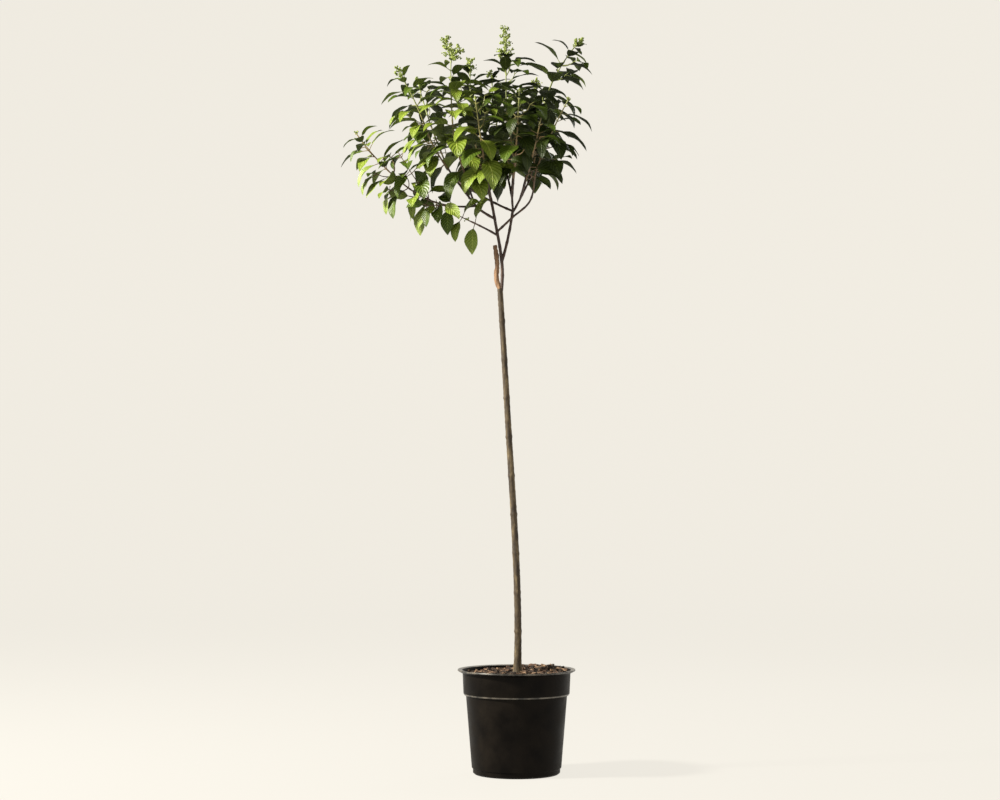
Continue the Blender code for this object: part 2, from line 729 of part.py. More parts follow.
def build_mass(name, course, foot_r, first_turn, leaf_length, panicle, grown, draw, material):
    """One mass of foliage: stem, side twigs, leaves and buds, fused into one body."""
    leaves, twigs = grow_shoot(name, course, first_turn, leaf_length, grown, draw, True)
    if name in SIDE_SHOOTS:
        side_course = course_from(course, False, SIDE_SHOOTS[name], PATH_STEP)
        more_leaves, _ = grow_shoot(name, side_course, first_turn, leaf_length * 0.9, grown, draw, False)
        leaves += more_leaves
        twigs.append(side_course)
    parts = []
    for frames, length, width in leaves:
        parts.append(make_object(name + "_leaf", leaf_mesh(frames, length, width), material))
    for twig in twigs:
        radii = tapered(twig, 1.2 * TWIG_R, TWIG_R)
        parts.append(make_object(name + "_twig", tube_mesh(twig, radii, TWIG_SIDES), material))
    radii = tapered(course, foot_r, SHOOT_TIP_R)
    if panicle:
        for centre, outward, reach in panicle_balls(course, panicle, draw):
            parts.append(make_object(name + "_buds", bud_mesh(centre, outward, reach), material))
        tip, way = point_at(course, course_length(course))
        course = [*course, tip + way * panicle]
        radii.append(0.8 * SHOOT_TIP_R)
    shoot = tube_mesh(course, radii, SHOOT_SIDES)
    mass = make_object(name + "_foliage", shoot, material)
    boolean_with(mass, parts, "UNION")
    keep_largest_body(mass)


def main():
    clear_scene()
    plastic = make_material("black_plastic", (0.012, 0.011, 0.010), 0.45)
    mulch = make_material("bark_mulch", (0.030, 0.018, 0.011), 0.95)
    bark = make_material("stem_bark", (0.190, 0.125, 0.060), 0.75)
    old_wood = make_material("old_wood", (0.260, 0.150, 0.080), 0.85)
    young_bark = make_material("young_bark", (0.075, 0.035, 0.025), 0.60)
    leaf_green = make_material("leaf_green", (0.070, 0.150, 0.030), 0.50)

    build_pot(plastic)
    build_soil(mulch)

    limbs = {}
    course = stem_course()
    grow_limb("stem", course, [stem_radius(p.z) for p in course], STEM_SIDES, limbs, bark)
    stub = smooth_course(STUB_POINTS, PATH_STEP)
    grow_limb("cut_leader", stub, [STUB_RADII[min(k, 4)] for k in range(len(stub))], STUB_SIDES, limbs, old_wood)
    for name, (parent, goes_on, points, foot_r, tip_r) in LEADERS.items():
        course = course_from(limbs[parent][0], goes_on, points, PATH_STEP)
        grow_limb(name, course, tapered(course, foot_r, tip_r), LEADER_SIDES, limbs, young_bark)

    leafy = {}
    for name, (parent, goes_on, points, bare, _, _, _) in SHOOTS.items():
        course = course_from(limbs[parent][0], goes_on, points, PATH_STEP)
        bough = part_of(course, 0.0, bare)
        grow_limb(name, bough, tapered(bough, BOUGH_FOOT_R, BOUGH_TIP_R), BOUGH_SIDES, limbs, young_bark, "_bough")
        leafy[name] = part_of(course, bare + GAP, course_length(course))

    grown = Grown()
    for name, (course, radii, sides) in limbs.items():
        tree = probe(tube_mesh(course, [r + CLEARANCE for r in radii], sides))
        grown.add(name + " bough", tree, None)
    for name, course in leafy.items():
        radii = [r + CLEARANCE for r in tapered(course, BOUGH_TIP_R, SHOOT_TIP_R)]
        tree = probe(tube_mesh(course, radii, SHOOT_SIDES))
        grown.add(name, tree, None)
    for k, (name, (_, _, _, _, first_turn, leaf_length, panicle)) in enumerate(SHOOTS.items()):
        draw = random.Random(SEED * 100 + k)
        build_mass(name, leafy[name], BOUGH_TIP_R, first_turn, leaf_length, panicle, grown, draw, leaf_green)


main()
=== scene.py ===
# %% [markdown]
# # Potted panicle hydrangea, grown as a standard
# The plant is a bare stem about 0.8 m tall with an open crown of upright leafy shoots, in a round
# black nursery pot. Everything is in metres, with +Z up and the origin under the middle of the
# pot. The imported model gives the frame: the pieces below stand where its nodes stand, ride on its
# one body, and take the place of the plainer solids.

# %% Frame and libraries
import math
import random

import bmesh
import bpy
import numpy as np
from mathutils import Matrix, Vector, noise
from mathutils.bvhtree import BVHTree
from mathutils.geometry import interpolate_bezier


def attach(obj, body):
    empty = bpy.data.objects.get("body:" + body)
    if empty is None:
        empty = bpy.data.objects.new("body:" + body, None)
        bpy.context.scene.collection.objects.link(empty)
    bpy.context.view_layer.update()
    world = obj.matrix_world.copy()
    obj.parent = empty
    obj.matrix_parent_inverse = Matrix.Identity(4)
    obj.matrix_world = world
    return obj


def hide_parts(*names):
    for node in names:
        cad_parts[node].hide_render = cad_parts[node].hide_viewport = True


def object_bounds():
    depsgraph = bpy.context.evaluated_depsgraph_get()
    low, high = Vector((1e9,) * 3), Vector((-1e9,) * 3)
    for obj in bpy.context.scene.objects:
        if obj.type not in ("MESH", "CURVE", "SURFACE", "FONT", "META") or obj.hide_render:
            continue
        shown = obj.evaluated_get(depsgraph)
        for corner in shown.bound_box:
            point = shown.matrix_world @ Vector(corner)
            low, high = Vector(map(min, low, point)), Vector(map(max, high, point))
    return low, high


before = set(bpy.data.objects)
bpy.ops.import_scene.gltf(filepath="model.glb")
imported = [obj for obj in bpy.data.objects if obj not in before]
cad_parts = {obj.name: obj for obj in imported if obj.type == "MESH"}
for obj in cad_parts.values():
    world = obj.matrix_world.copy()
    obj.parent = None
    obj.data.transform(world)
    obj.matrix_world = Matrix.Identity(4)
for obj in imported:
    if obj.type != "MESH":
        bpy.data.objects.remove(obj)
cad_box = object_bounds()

print("nodes in the frame:", len(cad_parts))

# %% [markdown]
# ## Camera
# The plant is seen from the front, a little below the middle of its height and slightly upwards.
# A long lens from 4 m away keeps the pot and the crown in the same proportion. The camera comes
# first, because the size of every detail is judged through it.

# %% Camera
camera_data = bpy.data.cameras.new("camera")
camera_data.lens = 69.55
camera_data.sensor_width = 36.0
camera = bpy.data.objects.new("camera", camera_data)
camera.location = (-0.034, -4.0, 0.55)
camera.rotation_euler = (math.radians(93.11), 0.0, 0.0)
bpy.context.scene.collection.objects.link(camera)
bpy.context.scene.camera = camera
print("camera at", tuple(camera.location))

# %% [markdown]
# ## Floor, backdrop and light
# The plant stands in a round studio. A pale floor turns up into a wall all the way round, through a
# wide round corner, so that no horizon shows from any side. The sheet glows evenly, which is the
# soft light of the room, and one strong lamp high on the left gives bright leaves and deep shade.

# %% Floor and backdrop in one sheet
FLOOR_R = 5.8
CORNER_R = 1.6
WALL_HEIGHT = 5.5
CORNER_STEPS = 16
ROUND_STEPS = 96
bm = bmesh.new()
corner = [(FLOOR_R + CORNER_R * math.sin(a), 0.0, CORNER_R * (1.0 - math.cos(a)))
          for a in (0.5 * math.pi * k / CORNER_STEPS for k in range(CORNER_STEPS + 1))]
line = [bm.verts.new(p) for p in [(0.0, 0.0, 0.0), *corner, (FLOOR_R + CORNER_R, 0.0, WALL_HEIGHT)]]
edges = [bm.edges.new(pair) for pair in zip(line, line[1:])]
bmesh.ops.spin(bm, geom=line + edges, cent=(0, 0, 0), axis=(0, 0, 1), angle=math.tau,
               steps=ROUND_STEPS, use_merge=True)
bmesh.ops.remove_doubles(bm, verts=bm.verts, dist=1e-5)
bmesh.ops.recalc_face_normals(bm, faces=bm.faces)
bm.faces.ensure_lookup_table()
if min(bm.faces, key=lambda face: face.calc_center_median().length).normal.z < 0.0:
    bmesh.ops.reverse_faces(bm, faces=bm.faces)
sweep_mesh = bpy.data.meshes.new("studio_sweep")
bm.to_mesh(sweep_mesh)
bm.free()
sweep_mesh.shade_smooth()
sweep = bpy.data.objects.new("studio_sweep", sweep_mesh)
bpy.context.scene.collection.objects.link(sweep)
paper = bpy.data.materials.new("pale_paper")
paper.use_nodes = True
paper_shader = paper.node_tree.nodes["Principled BSDF"]
paper_shader.inputs["Base Color"].default_value = (0.06, 0.06, 0.06, 1.0)
paper_shader.inputs["Roughness"].default_value = 0.95
paper_shader.inputs["Specular IOR Level"].default_value = 0.0
paper_shader.inputs["Emission Color"].default_value = (0.825, 0.790, 0.715, 1.0)
paper_shader.inputs["Emission Strength"].default_value = 1.0
sweep_mesh.materials.append(paper)
print("studio faces:", len(sweep_mesh.polygons))


# %% Lamps
def add_lamp(name, place, target, power, size, colour=(1.0, 1.0, 1.0)):
    """A square soft lamp at a place, turned to a target."""
    data = bpy.data.lights.new(name, "AREA")
    data.energy = power
    data.size = size
    data.color = colour
    lamp = bpy.data.objects.new(name, data)
    lamp.location = place
    lamp.rotation_euler = (Vector(target) - Vector(place)).to_track_quat("-Z", "Y").to_euler()
    bpy.context.scene.collection.objects.link(lamp)


add_lamp("key_lamp", (-3.2, -0.9, 2.7), (-0.05, 0.0, 1.0), 430.0, 0.5, (1.0, 0.95, 0.82))
add_lamp("rim_lamp", (1.4, 1.9, 2.2), (0.0, 0.0, 1.2), 14.0, 0.8)
world = bpy.data.worlds.new("studio_world")
bpy.context.scene.world = world
world.use_nodes = True
world.node_tree.nodes["Background"].inputs["Color"].default_value = (1.0, 0.98, 0.94, 1.0)
world.node_tree.nodes["Background"].inputs["Strength"].default_value = 0.06
bpy.context.scene.view_settings.view_transform = "Standard"


# %% [markdown]
# ## Finishes
# Each finish is a small network of noise patterns on object coordinates: one for colour, one for
# relief. The leaves have their own flat map instead, across and along the blade, because the
# veins follow the leaf and not the room.

# %% A network to start from
def new_finish(name, roughness):
    """A material with its node tree and its shader."""
    material = bpy.data.materials.new(name)
    material.use_nodes = True
    shader = material.node_tree.nodes["Principled BSDF"]
    shader.inputs["Roughness"].default_value = roughness
    return material, material.node_tree, shader


def add_noise(tree, scale, detail=4.0, stretch=(1.0, 1.0, 1.0)):
    """Noise on object coordinates, stretched along an axis where its factor is small."""
    place = tree.nodes.new("ShaderNodeTexCoord")
    mapping = tree.nodes.new("ShaderNodeMapping")
    mapping.inputs["Scale"].default_value = stretch
    pattern = tree.nodes.new("ShaderNodeTexNoise")
    pattern.inputs["Scale"].default_value = scale
    pattern.inputs["Detail"].default_value = detail
    tree.links.new(place.outputs["Object"], mapping.inputs["Vector"])
    tree.links.new(mapping.outputs["Vector"], pattern.inputs["Vector"])
    return pattern.outputs["Fac"]


def add_ramp(tree, value, stops):
    """A colour ramp of (place, colour) stops, fed by the value."""
    ramp = tree.nodes.new("ShaderNodeValToRGB")
    for k, (place, colour) in enumerate(stops):
        stop = ramp.color_ramp.elements[k] if k < 2 else ramp.color_ramp.elements.new(place)
        stop.position = place
        stop.color = (*colour, 1.0)
    tree.links.new(value, ramp.inputs["Fac"])
    return ramp.outputs["Color"]


def add_mix(tree, share, first, second):
    """The second colour laid over the first by the share."""
    mix = tree.nodes.new("ShaderNodeMix")
    mix.data_type = "RGBA"
    tree.links.new(share, mix.inputs["Factor"])
    for socket, colour in ((mix.inputs["A"], first), (mix.inputs["B"], second)):
        if isinstance(colour, tuple):
            socket.default_value = (*colour, 1.0)
        else:
            tree.links.new(colour, socket)
    return mix.outputs["Result"]


def add_range(tree, value, low, high, out_low=0.0, out_high=1.0):
    """The value's range from low to high, as a range from out_low to out_high."""
    scale = tree.nodes.new("ShaderNodeMapRange")
    scale.inputs["From Min"].default_value = low
    scale.inputs["From Max"].default_value = high
    scale.inputs["To Min"].default_value = out_low
    scale.inputs["To Max"].default_value = out_high
    tree.links.new(value, scale.inputs["Value"])
    return scale.outputs["Result"]


def add_math(tree, operation, first, second=0.0):
    """One step of arithmetic on values or plain numbers."""
    step = tree.nodes.new("ShaderNodeMath")
    step.operation = operation
    for socket, value in zip(step.inputs, (first, second)):
        if isinstance(value, float):
            socket.default_value = value
        else:
            tree.links.new(value, socket)
    return step.outputs["Value"]


def add_relief(tree, shader, height, strength, depth):
    """Bumps of the given depth in metres, from a height between 0 and 1."""
    bump = tree.nodes.new("ShaderNodeBump")
    bump.inputs["Strength"].default_value = strength
    bump.inputs["Distance"].default_value = depth
    tree.links.new(height, bump.inputs["Height"])
    tree.links.new(bump.outputs["Normal"], shader.inputs["Normal"])


# %% [markdown]
# The pot is thin moulded plastic, nearly black and a little dusty, so its gloss varies more than
# its colour does. The lip and the lower edge of the band are painted paler, a painted highlight
# where they catch the light.

# %% Pot plastic
pot_plastic, tree, shader = new_finish("pot_plastic", 0.45)
dust = add_noise(tree, 26.0, 6.0)
tree.links.new(add_ramp(tree, dust, [(0.35, (0.0028, 0.0021, 0.0016)), (0.75, (0.0085, 0.0064, 0.0045))]),
               shader.inputs["Base Color"])
tree.links.new(add_range(tree, dust, 0.3, 0.7, 0.34, 0.56), shader.inputs["Roughness"])
shader.inputs["Specular IOR Level"].default_value = 0.06
add_relief(tree, shader, add_noise(tree, 700.0, 2.0), 0.25, 0.0002)
# Paler finish for the lip and the band's lower edge: a painted highlight where these edges catch the light.
pot_edge_highlight, tree, shader = new_finish("pot_edge_highlight", 0.30)
painted_highlight_stops = [(0.40, (0.014, 0.012, 0.009)), (0.62, (0.110, 0.095, 0.075))]
tree.links.new(add_ramp(tree, add_noise(tree, 60.0, 4.0), painted_highlight_stops), shader.inputs["Base Color"])


# %% [markdown]
# Bark, mulch and twigs share one recipe. The noise is stretched along the grain, and a ramp turns
# it into two or three of the colours that the wood shows.

# %% Woody finishes
def woody_finish(name, stops, roughness, scale, stretch, relief):
    material, tree, shader = new_finish(name, roughness)
    grain = add_noise(tree, scale, 6.0, stretch)
    tree.links.new(add_ramp(tree, grain, stops), shader.inputs["Base Color"])
    add_relief(tree, shader, add_noise(tree, scale * 2.5, 4.0, stretch), 0.6, relief)
    return material


ALONG_STEM = (1.0, 1.0, 0.18)
EVERY_WAY = (1.0, 1.0, 1.0)
stem_bark = woody_finish("stem_bark", [(0.30, (0.014, 0.008, 0.004)), (0.50, (0.052, 0.034, 0.015)),
                                       (0.70, (0.165, 0.122, 0.062))], 0.72, 150.0, ALONG_STEM, 0.0006)
old_wood = woody_finish("old_wood", [(0.32, (0.100, 0.052, 0.030)), (0.55, (0.290, 0.170, 0.090)),
                                     (0.75, (0.430, 0.290, 0.170))], 0.85, 120.0, ALONG_STEM, 0.0010)
cut_wood = woody_finish("cut_wood", [(0.35, (0.300, 0.210, 0.120)), (0.70, (0.520, 0.400, 0.250))],
                        0.80, 300.0, EVERY_WAY, 0.0003)
young_bark = woody_finish("young_bark", [(0.30, (0.018, 0.008, 0.006)), (0.55, (0.050, 0.024, 0.015)),
                                         (0.78, (0.120, 0.068, 0.036))], 0.55, 130.0, ALONG_STEM, 0.0004)
mulch_bed = woody_finish("mulch_bed", [(0.35, (0.008, 0.005, 0.004)), (0.65, (0.030, 0.018, 0.011))],
                         0.95, 160.0, EVERY_WAY, 0.0015)
chip_dark = woody_finish("chip_dark", [(0.30, (0.012, 0.008, 0.006)), (0.70, (0.045, 0.028, 0.018))],
                         0.90, 180.0, (1.0, 0.3, 1.0), 0.0006)
chip_brown = woody_finish("chip_brown", [(0.30, (0.040, 0.020, 0.012)), (0.70, (0.120, 0.065, 0.036))],
                          0.88, 180.0, (0.3, 1.0, 1.0), 0.0006)
chip_tan = woody_finish("chip_tan", [(0.30, (0.130, 0.075, 0.042)), (0.70, (0.330, 0.215, 0.130))],
                        0.85, 180.0, (1.0, 0.3, 1.0), 0.0005)

# %% [markdown]
# A shoot is brown where the wood is a year old and green at its soft tip. Its colour follows the
# height, with noise to break up the change.

# %% Green shoots
shoot_skin, tree, shader = new_finish("shoot_skin", 0.50)
spot = tree.nodes.new("ShaderNodeTexCoord")
axes = tree.nodes.new("ShaderNodeSeparateXYZ")
tree.links.new(spot.outputs["Object"], axes.inputs["Vector"])
ripeness = add_math(tree, "ADD", add_range(tree, axes.outputs["Z"], 1.16, 1.40, 0.0, 1.0),
                    add_range(tree, add_noise(tree, 60.0), 0.0, 1.0, -0.25, 0.25))
tree.links.new(add_ramp(tree, ripeness, [(0.10, (0.080, 0.040, 0.022)), (0.50, (0.210, 0.140, 0.062)),
                                         (0.95, (0.190, 0.220, 0.060))]), shader.inputs["Base Color"])
add_relief(tree, shader, add_noise(tree, 380.0, 3.0, ALONG_STEM), 0.4, 0.0003)


# %% [markdown]
# A hydrangea leaf has a pale midrib and about eight pairs of side veins that run forward to its
# edge, with the blade quilted between them. On the leaf's own map, a is the distance from the
# midrib and v runs from the stalk to the tip: the sine of v less a share of a gives the veins.

# %% Leaf finishes
SIDE_VEINS = 8.0
VEIN_SLANT = 0.30


def leaf_finish(name, blade, pale, roughness, sheen):
    material, tree, shader = new_finish(name, roughness)
    flat_map = tree.nodes.new("ShaderNodeUVMap")
    flat_map.uv_map = "blade_map"
    axes = tree.nodes.new("ShaderNodeSeparateXYZ")
    tree.links.new(flat_map.outputs["UV"], axes.inputs["Vector"])
    from_rib = add_math(tree, "ABSOLUTE", add_math(tree, "SUBTRACT", axes.outputs["X"], 0.5))
    forward = add_math(tree, "MULTIPLY", from_rib, 2.0 * VEIN_SLANT)
    along = add_math(tree, "SUBTRACT", axes.outputs["Y"], forward)
    wave = add_math(tree, "SINE", add_math(tree, "MULTIPLY", along, math.tau * SIDE_VEINS))
    side = add_range(tree, wave, 0.80, 1.0, 0.0, 0.55)
    rib = add_range(tree, from_rib, 0.012, 0.035, 1.0, 0.0)
    veins = add_math(tree, "MAXIMUM", side, rib)
    shaded = tuple(0.74 * channel for channel in blade)
    mottle = add_ramp(tree, add_noise(tree, 38.0, 3.0), [(0.30, shaded), (0.70, blade)])
    tree.links.new(add_mix(tree, veins, mottle, pale), shader.inputs["Base Color"])
    quilt = add_math(tree, "SUBTRACT", add_range(tree, wave, -1.0, 1.0, 1.0, 0.0), rib)
    add_relief(tree, shader, quilt, 0.55, 0.0012)
    shader.inputs["Specular IOR Level"].default_value = sheen
    return material


# The leaf finishes are lit, middle and shaded copies of one green: painted light and painted shade, laid
# over the leaves' own pale veins and mottle.
leaf_tops = {
    "bright": leaf_finish("leaf_top_bright", (0.150, 0.215, 0.018), (0.330, 0.390, 0.070), 0.42, 0.4),
    "mid": leaf_finish("leaf_top_mid", (0.056, 0.095, 0.006), (0.130, 0.185, 0.026), 0.42, 0.35),
    "deep": leaf_finish("leaf_top_deep", (0.020, 0.034, 0.003), (0.056, 0.080, 0.012), 0.42, 0.3),
}
leaf_undersides = {
    "bright": leaf_finish("leaf_underside_bright", (0.120, 0.165, 0.022), (0.220, 0.270, 0.060), 0.65, 0.2),
    "mid": leaf_finish("leaf_underside_mid", (0.045, 0.066, 0.009), (0.095, 0.125, 0.024), 0.65, 0.2),
    "deep": leaf_finish("leaf_underside_deep", (0.018, 0.028, 0.004), (0.042, 0.058, 0.010), 0.65, 0.2),
}
bud_green, tree, shader = new_finish("bud_green", 0.55)
bud_tones = [(0.30, (0.090, 0.130, 0.018)), (0.55, (0.230, 0.290, 0.048)), (0.78, (0.430, 0.470, 0.150))]
tree.links.new(add_ramp(tree, add_noise(tree, 120.0), bud_tones), shader.inputs["Base Color"])
add_relief(tree, shader, add_noise(tree, 900.0, 2.0), 0.3, 0.0003)
print("finishes:", len(bpy.data.materials))


# %% [markdown]
# ## Pot
# A nursery pot is a shell turned about its axis: a foot, a tapering wall, a step out to the
# stiffening band and a thin lip that flares. The profile is spun once round, its edges get a small
# bevel so that they catch light, and the drain holes are cut through the sole.

# %% One way to finish every piece
def finish_piece(name, bm, materials, nodes=(), sharp_degrees=40):
    """The bmesh as a piece of the object: smooth, riding on the body, standing for its nodes."""
    mesh = bpy.data.meshes.new(name)
    bm.to_mesh(mesh)
    bm.free()
    for material in materials:
        mesh.materials.append(material)
    mesh.shade_smooth()
    mesh.set_sharp_from_angle(angle=math.radians(sharp_degrees))
    piece = bpy.data.objects.new(name, mesh)
    bpy.context.scene.collection.objects.link(piece)
    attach(piece, "root")
    if nodes:
        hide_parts(*nodes)
    print(name, "faces:", len(mesh.polygons))
    return piece


def turned(profile, segments):
    """The profile of radii and heights, from axis to axis, turned once round Z."""
    bm = bmesh.new()
    verts = [bm.verts.new((r, 0.0, z)) for r, z in profile]
    edges = [bm.edges.new(pair) for pair in zip(verts, verts[1:])]
    bmesh.ops.spin(bm, geom=verts + edges, cent=(0, 0, 0), axis=(0, 0, 1), angle=math.tau,
                   steps=segments, use_merge=True)
    bmesh.ops.remove_doubles(bm, verts=bm.verts, dist=1e-6)
    bmesh.ops.recalc_face_normals(bm, faces=bm.faces)
    return bm


# %% Pot, with the same profile as its solid
POT_OUTSIDE = [(0.0860, 0.0), (0.0895, 0.0030), (0.0895, 0.0110), (0.0920, 0.0130), (0.1040, 0.1590),
               (0.1080, 0.1610), (0.1092, 0.1640), (0.1110, 0.2050), (0.1203, 0.2095), (0.1213, 0.2107),
               (0.1205, 0.2130)]
POT_INSIDE = [(0.1120, 0.2116), (0.1092, 0.2050), (0.1074, 0.1650), (0.1022, 0.1600), (0.0902, 0.0130),
              (0.0867, 0.0032)]
POT_SEGMENTS = 128
DRAIN_COUNT = 6
DRAIN_R = 0.0060
DRAIN_RING_R = 0.0640
LIP_R, LIP_FOOT = 0.1150, 0.2098
BAND_R, BAND_FOOT, BAND_EDGE = 0.1070, 0.1612, 0.1640
bm = turned([(0.0, 0.0), *POT_OUTSIDE, *POT_INSIDE, (0.0, 0.0032)], POT_SEGMENTS)
# Faces on the lip and on the band's lower edge take the painted highlight finish.
for face in bm.faces:
    middle = face.calc_center_median()
    on_lip = math.hypot(middle.x, middle.y) > LIP_R and middle.z > LIP_FOOT
    on_band_edge = math.hypot(middle.x, middle.y) > BAND_R and BAND_FOOT < middle.z < BAND_EDGE
    face.material_index = 1 if on_lip or on_band_edge else 0
pot = finish_piece("pot_shell", bm, [pot_plastic, pot_edge_highlight], ["pot"], 25)
bm = bmesh.new()
for k in range(DRAIN_COUNT):
    angle = math.tau * (k + 0.5) / DRAIN_COUNT
    spot = (DRAIN_RING_R * math.cos(angle), DRAIN_RING_R * math.sin(angle), 0.0)
    bmesh.ops.create_cone(bm, cap_ends=True, segments=24, radius1=DRAIN_R, radius2=DRAIN_R,
                          depth=0.012, matrix=Matrix.Translation(spot))
cutter_mesh = bpy.data.meshes.new("drain_cutters")
bm.to_mesh(cutter_mesh)
bm.free()
cutters = bpy.data.objects.new("drain_cutters", cutter_mesh)
bpy.context.scene.collection.objects.link(cutters)
drains = pot.modifiers.new("drains", "BOOLEAN")
drains.operation = "DIFFERENCE"
drains.object = cutters
rounding = pot.modifiers.new("rounding", "BEVEL")
rounding.width = 0.0004
rounding.segments = 2
rounding.limit_method = "ANGLE"
rounding.angle_limit = math.radians(25)
bpy.context.view_layer.update()
graph = bpy.context.evaluated_depsgraph_get()
pot_mesh = bpy.data.meshes.new_from_object(pot.evaluated_get(graph))
pot.modifiers.clear()
pot.data = pot_mesh
bpy.data.objects.remove(cutters)
print("pot faces after rounding:", len(pot_mesh.polygons))

# %% [markdown]
# ## Mulch
# The mix fills the pot to just below its lip and carries a layer of bark chips, heaped towards the
# right and the back. A dark lumpy bed closes the surface, and loose chips of three tones lie on it
# at all angles. Each chip is a cube pulled to a splinter, which is enough at this size.

# %% Bed
SOIL_TOP = 0.2060
BED_RINGS = 22
BED_RIM_R = 0.1089
BED_MIDDLE_R = 0.012
BED_BELOW = 0.1960


def ease(share):
    share = min(max(share, 0.0), 1.0)
    return share * share * (3.0 - 2.0 * share)


def mulch_height(x, y):
    """The bed's surface: level at the stem, lower at the rim, heaped to the right and the back."""
    radius = math.hypot(x, y)
    heap = 0.0075 * ease((x * 0.8 + y * 0.6) / 0.111) - 0.0040 * ease(radius / 0.111)
    lump = 0.0022 * noise.noise(Vector((x, y, 5.3)) / 0.0110)
    return SOIL_TOP + (heap + lump) * ease((radius - 0.012) / 0.020)


rings = [(BED_RIM_R + (BED_MIDDLE_R - BED_RIM_R) * k / BED_RINGS, SOIL_TOP) for k in range(BED_RINGS + 1)]
bm = turned([(0.0, 0.0036), (0.0864, 0.0036), (0.0899, 0.0130), (0.1019, 0.1600), (0.1071, 0.1650),
             (0.1083, BED_BELOW), *rings, (0.0, SOIL_TOP)], 96)
for vert in bm.verts:
    if vert.co.z > SOIL_TOP - 1e-4:
        rough = 0.0012 * noise.noise(vert.co * 330.0)
        vert.co.z = mulch_height(vert.co.x, vert.co.y) + rough
finish_piece("mulch_bed", bm, [mulch_bed], ["soil"], 60)

# %% Loose chips
CHIP_COUNT = 620
CHIP_REACH = 0.1040
STEM_CLEAR = 0.0125
draw = random.Random(41)
chip_sets = {"dark": bmesh.new(), "brown": bmesh.new(), "tan": bmesh.new()}
for n in range(CHIP_COUNT):
    radius = CHIP_REACH * math.sqrt(draw.random())
    angle = draw.uniform(0.0, math.tau)
    length = draw.uniform(0.006, 0.020)
    if radius < STEM_CLEAR + 0.5 * length:
        continue
    radius = min(radius, CHIP_REACH + 0.003 - 0.5 * length)
    x, y = radius * math.cos(angle), radius * math.sin(angle)
    tilt = Matrix.Rotation(draw.gauss(0.0, 0.35), 4, "X") @ Matrix.Rotation(draw.gauss(0.0, 0.30), 4, "Y")
    lift = draw.uniform(0.0002, 0.0022) + 0.0045 * ease((x * 0.8 + y * 0.6 - 0.03) / 0.07) * draw.random()
    place = Matrix.Translation((x, y, mulch_height(x, y) + lift))
    place = place @ Matrix.Rotation(draw.uniform(0.0, math.tau), 4, "Z") @ tilt
    size = Matrix.Diagonal((length, length * draw.uniform(0.25, 0.55), draw.uniform(0.0012, 0.0030), 1.0))
    tone = draw.choices(("dark", "brown", "tan"), (0.58, 0.30, 0.12))[0]
    bm = chip_sets[tone]
    chip = bmesh.ops.create_cube(bm, size=1.0, matrix=place @ size)["verts"]
    for vert in chip:
        vert.co += Vector((draw.gauss(0, 1), draw.gauss(0, 1), draw.gauss(0, 0.5))) * 0.0007
for tone, finish in (("dark", chip_dark), ("brown", chip_brown), ("tan", chip_tan)):
    bmesh.ops.recalc_face_normals(chip_sets[tone], faces=chip_sets[tone].faces)
    finish_piece("chips_" + tone, chip_sets[tone], [finish])


# %% [markdown]
# ## Courses and tubes
# Every limb is a tube along a smooth course. The course is a chain of short Bezier curves through a
# few points, read off at even steps. A frame at each step carries a ring, and rings are bridged one
# to the next, which lets the limb taper, bow and swell without a seam.

# %% Courses
def blend(low, high, share):
    return low + (high - low) * share


def evenly(points, step):
    """The line through the points, with its points put an equal distance apart."""
    lengths = [0.0]
    for a, b in zip(points, points[1:]):
        lengths.append(lengths[-1] + (b - a).length)
    count = max(2, round(lengths[-1] / step))
    spaced = []
    k = 0
    for n in range(count + 1):
        target = lengths[-1] * n / count
        while k < len(points) - 2 and lengths[k + 1] < target:
            k += 1
        stretch = max(lengths[k + 1] - lengths[k], 1e-9)
        spaced.append(points[k].lerp(points[k + 1], (target - lengths[k]) / stretch))
    return spaced


def smooth_course(points, step):
    """A smooth curve through the points, read off every step or so."""
    points = [Vector(p) for p in points]
    chords = [(b - a).normalized() for a, b in zip(points, points[1:])]
    tangents = [(a + b).normalized() for a, b in zip(chords, chords[1:])]
    first = (2.0 * chords[0] - tangents[0]).normalized() if tangents else chords[0]
    last = (2.0 * chords[-1] - tangents[-1]).normalized() if tangents else chords[-1]
    tangents = [first, *tangents, last]
    fine = [points[0]]
    for a, b, leaving, arriving in zip(points, points[1:], tangents, tangents[1:]):
        reach = (b - a).length / 3.0
        fine += interpolate_bezier(a, a + leaving * reach, b - arriving * reach, b, 24)[1:]
    return evenly(fine, step)


def course_length(course):
    return sum((b - a).length for a, b in zip(course, course[1:]))


def point_at(course, distance):
    """The point that lies this far along the course, and the direction there."""
    for a, b in zip(course, course[1:]):
        stretch = (b - a).length
        if distance <= stretch:
            return a.lerp(b, distance / stretch), (b - a).normalized()
        distance -= stretch
    return course[-1].copy(), (course[-1] - course[-2]).normalized()


def part_of(course, start, end, step=0.004):
    """The stretch of the course between two distances along it."""
    count = max(2, round((end - start) / step))
    return [point_at(course, blend(start, end, k / count))[0] for k in range(count + 1)]


def nearest_on(course, point):
    """The point of the course that lies nearest."""
    return min(course, key=lambda p: (p - point).length)


# %% Tubes
def frames_along(course):
    """A matrix for each point, with Z along the course and no twist about it."""
    chords = [(b - a).normalized() for a, b in zip(course, course[1:])]
    between = [(a + b).normalized() for a, b in zip(chords, chords[1:])]
    side = Vector((0.0, 1.0, 0.0)).cross(chords[0])
    frames = []
    for point, direction in zip(course, [chords[0], *between, chords[-1]]):
        side = (side - direction * side.dot(direction)).normalized()
        turned_frame = Matrix((side, direction.cross(side), direction)).transposed().to_4x4()
        turned_frame.translation = point
        frames.append(turned_frame)
    return frames


def ring_edges(ring):
    edges = {edge for vert in ring for edge in vert.link_edges if edge.other_vert(vert) in ring}
    return [edge for edge in edges if not edge.link_faces]


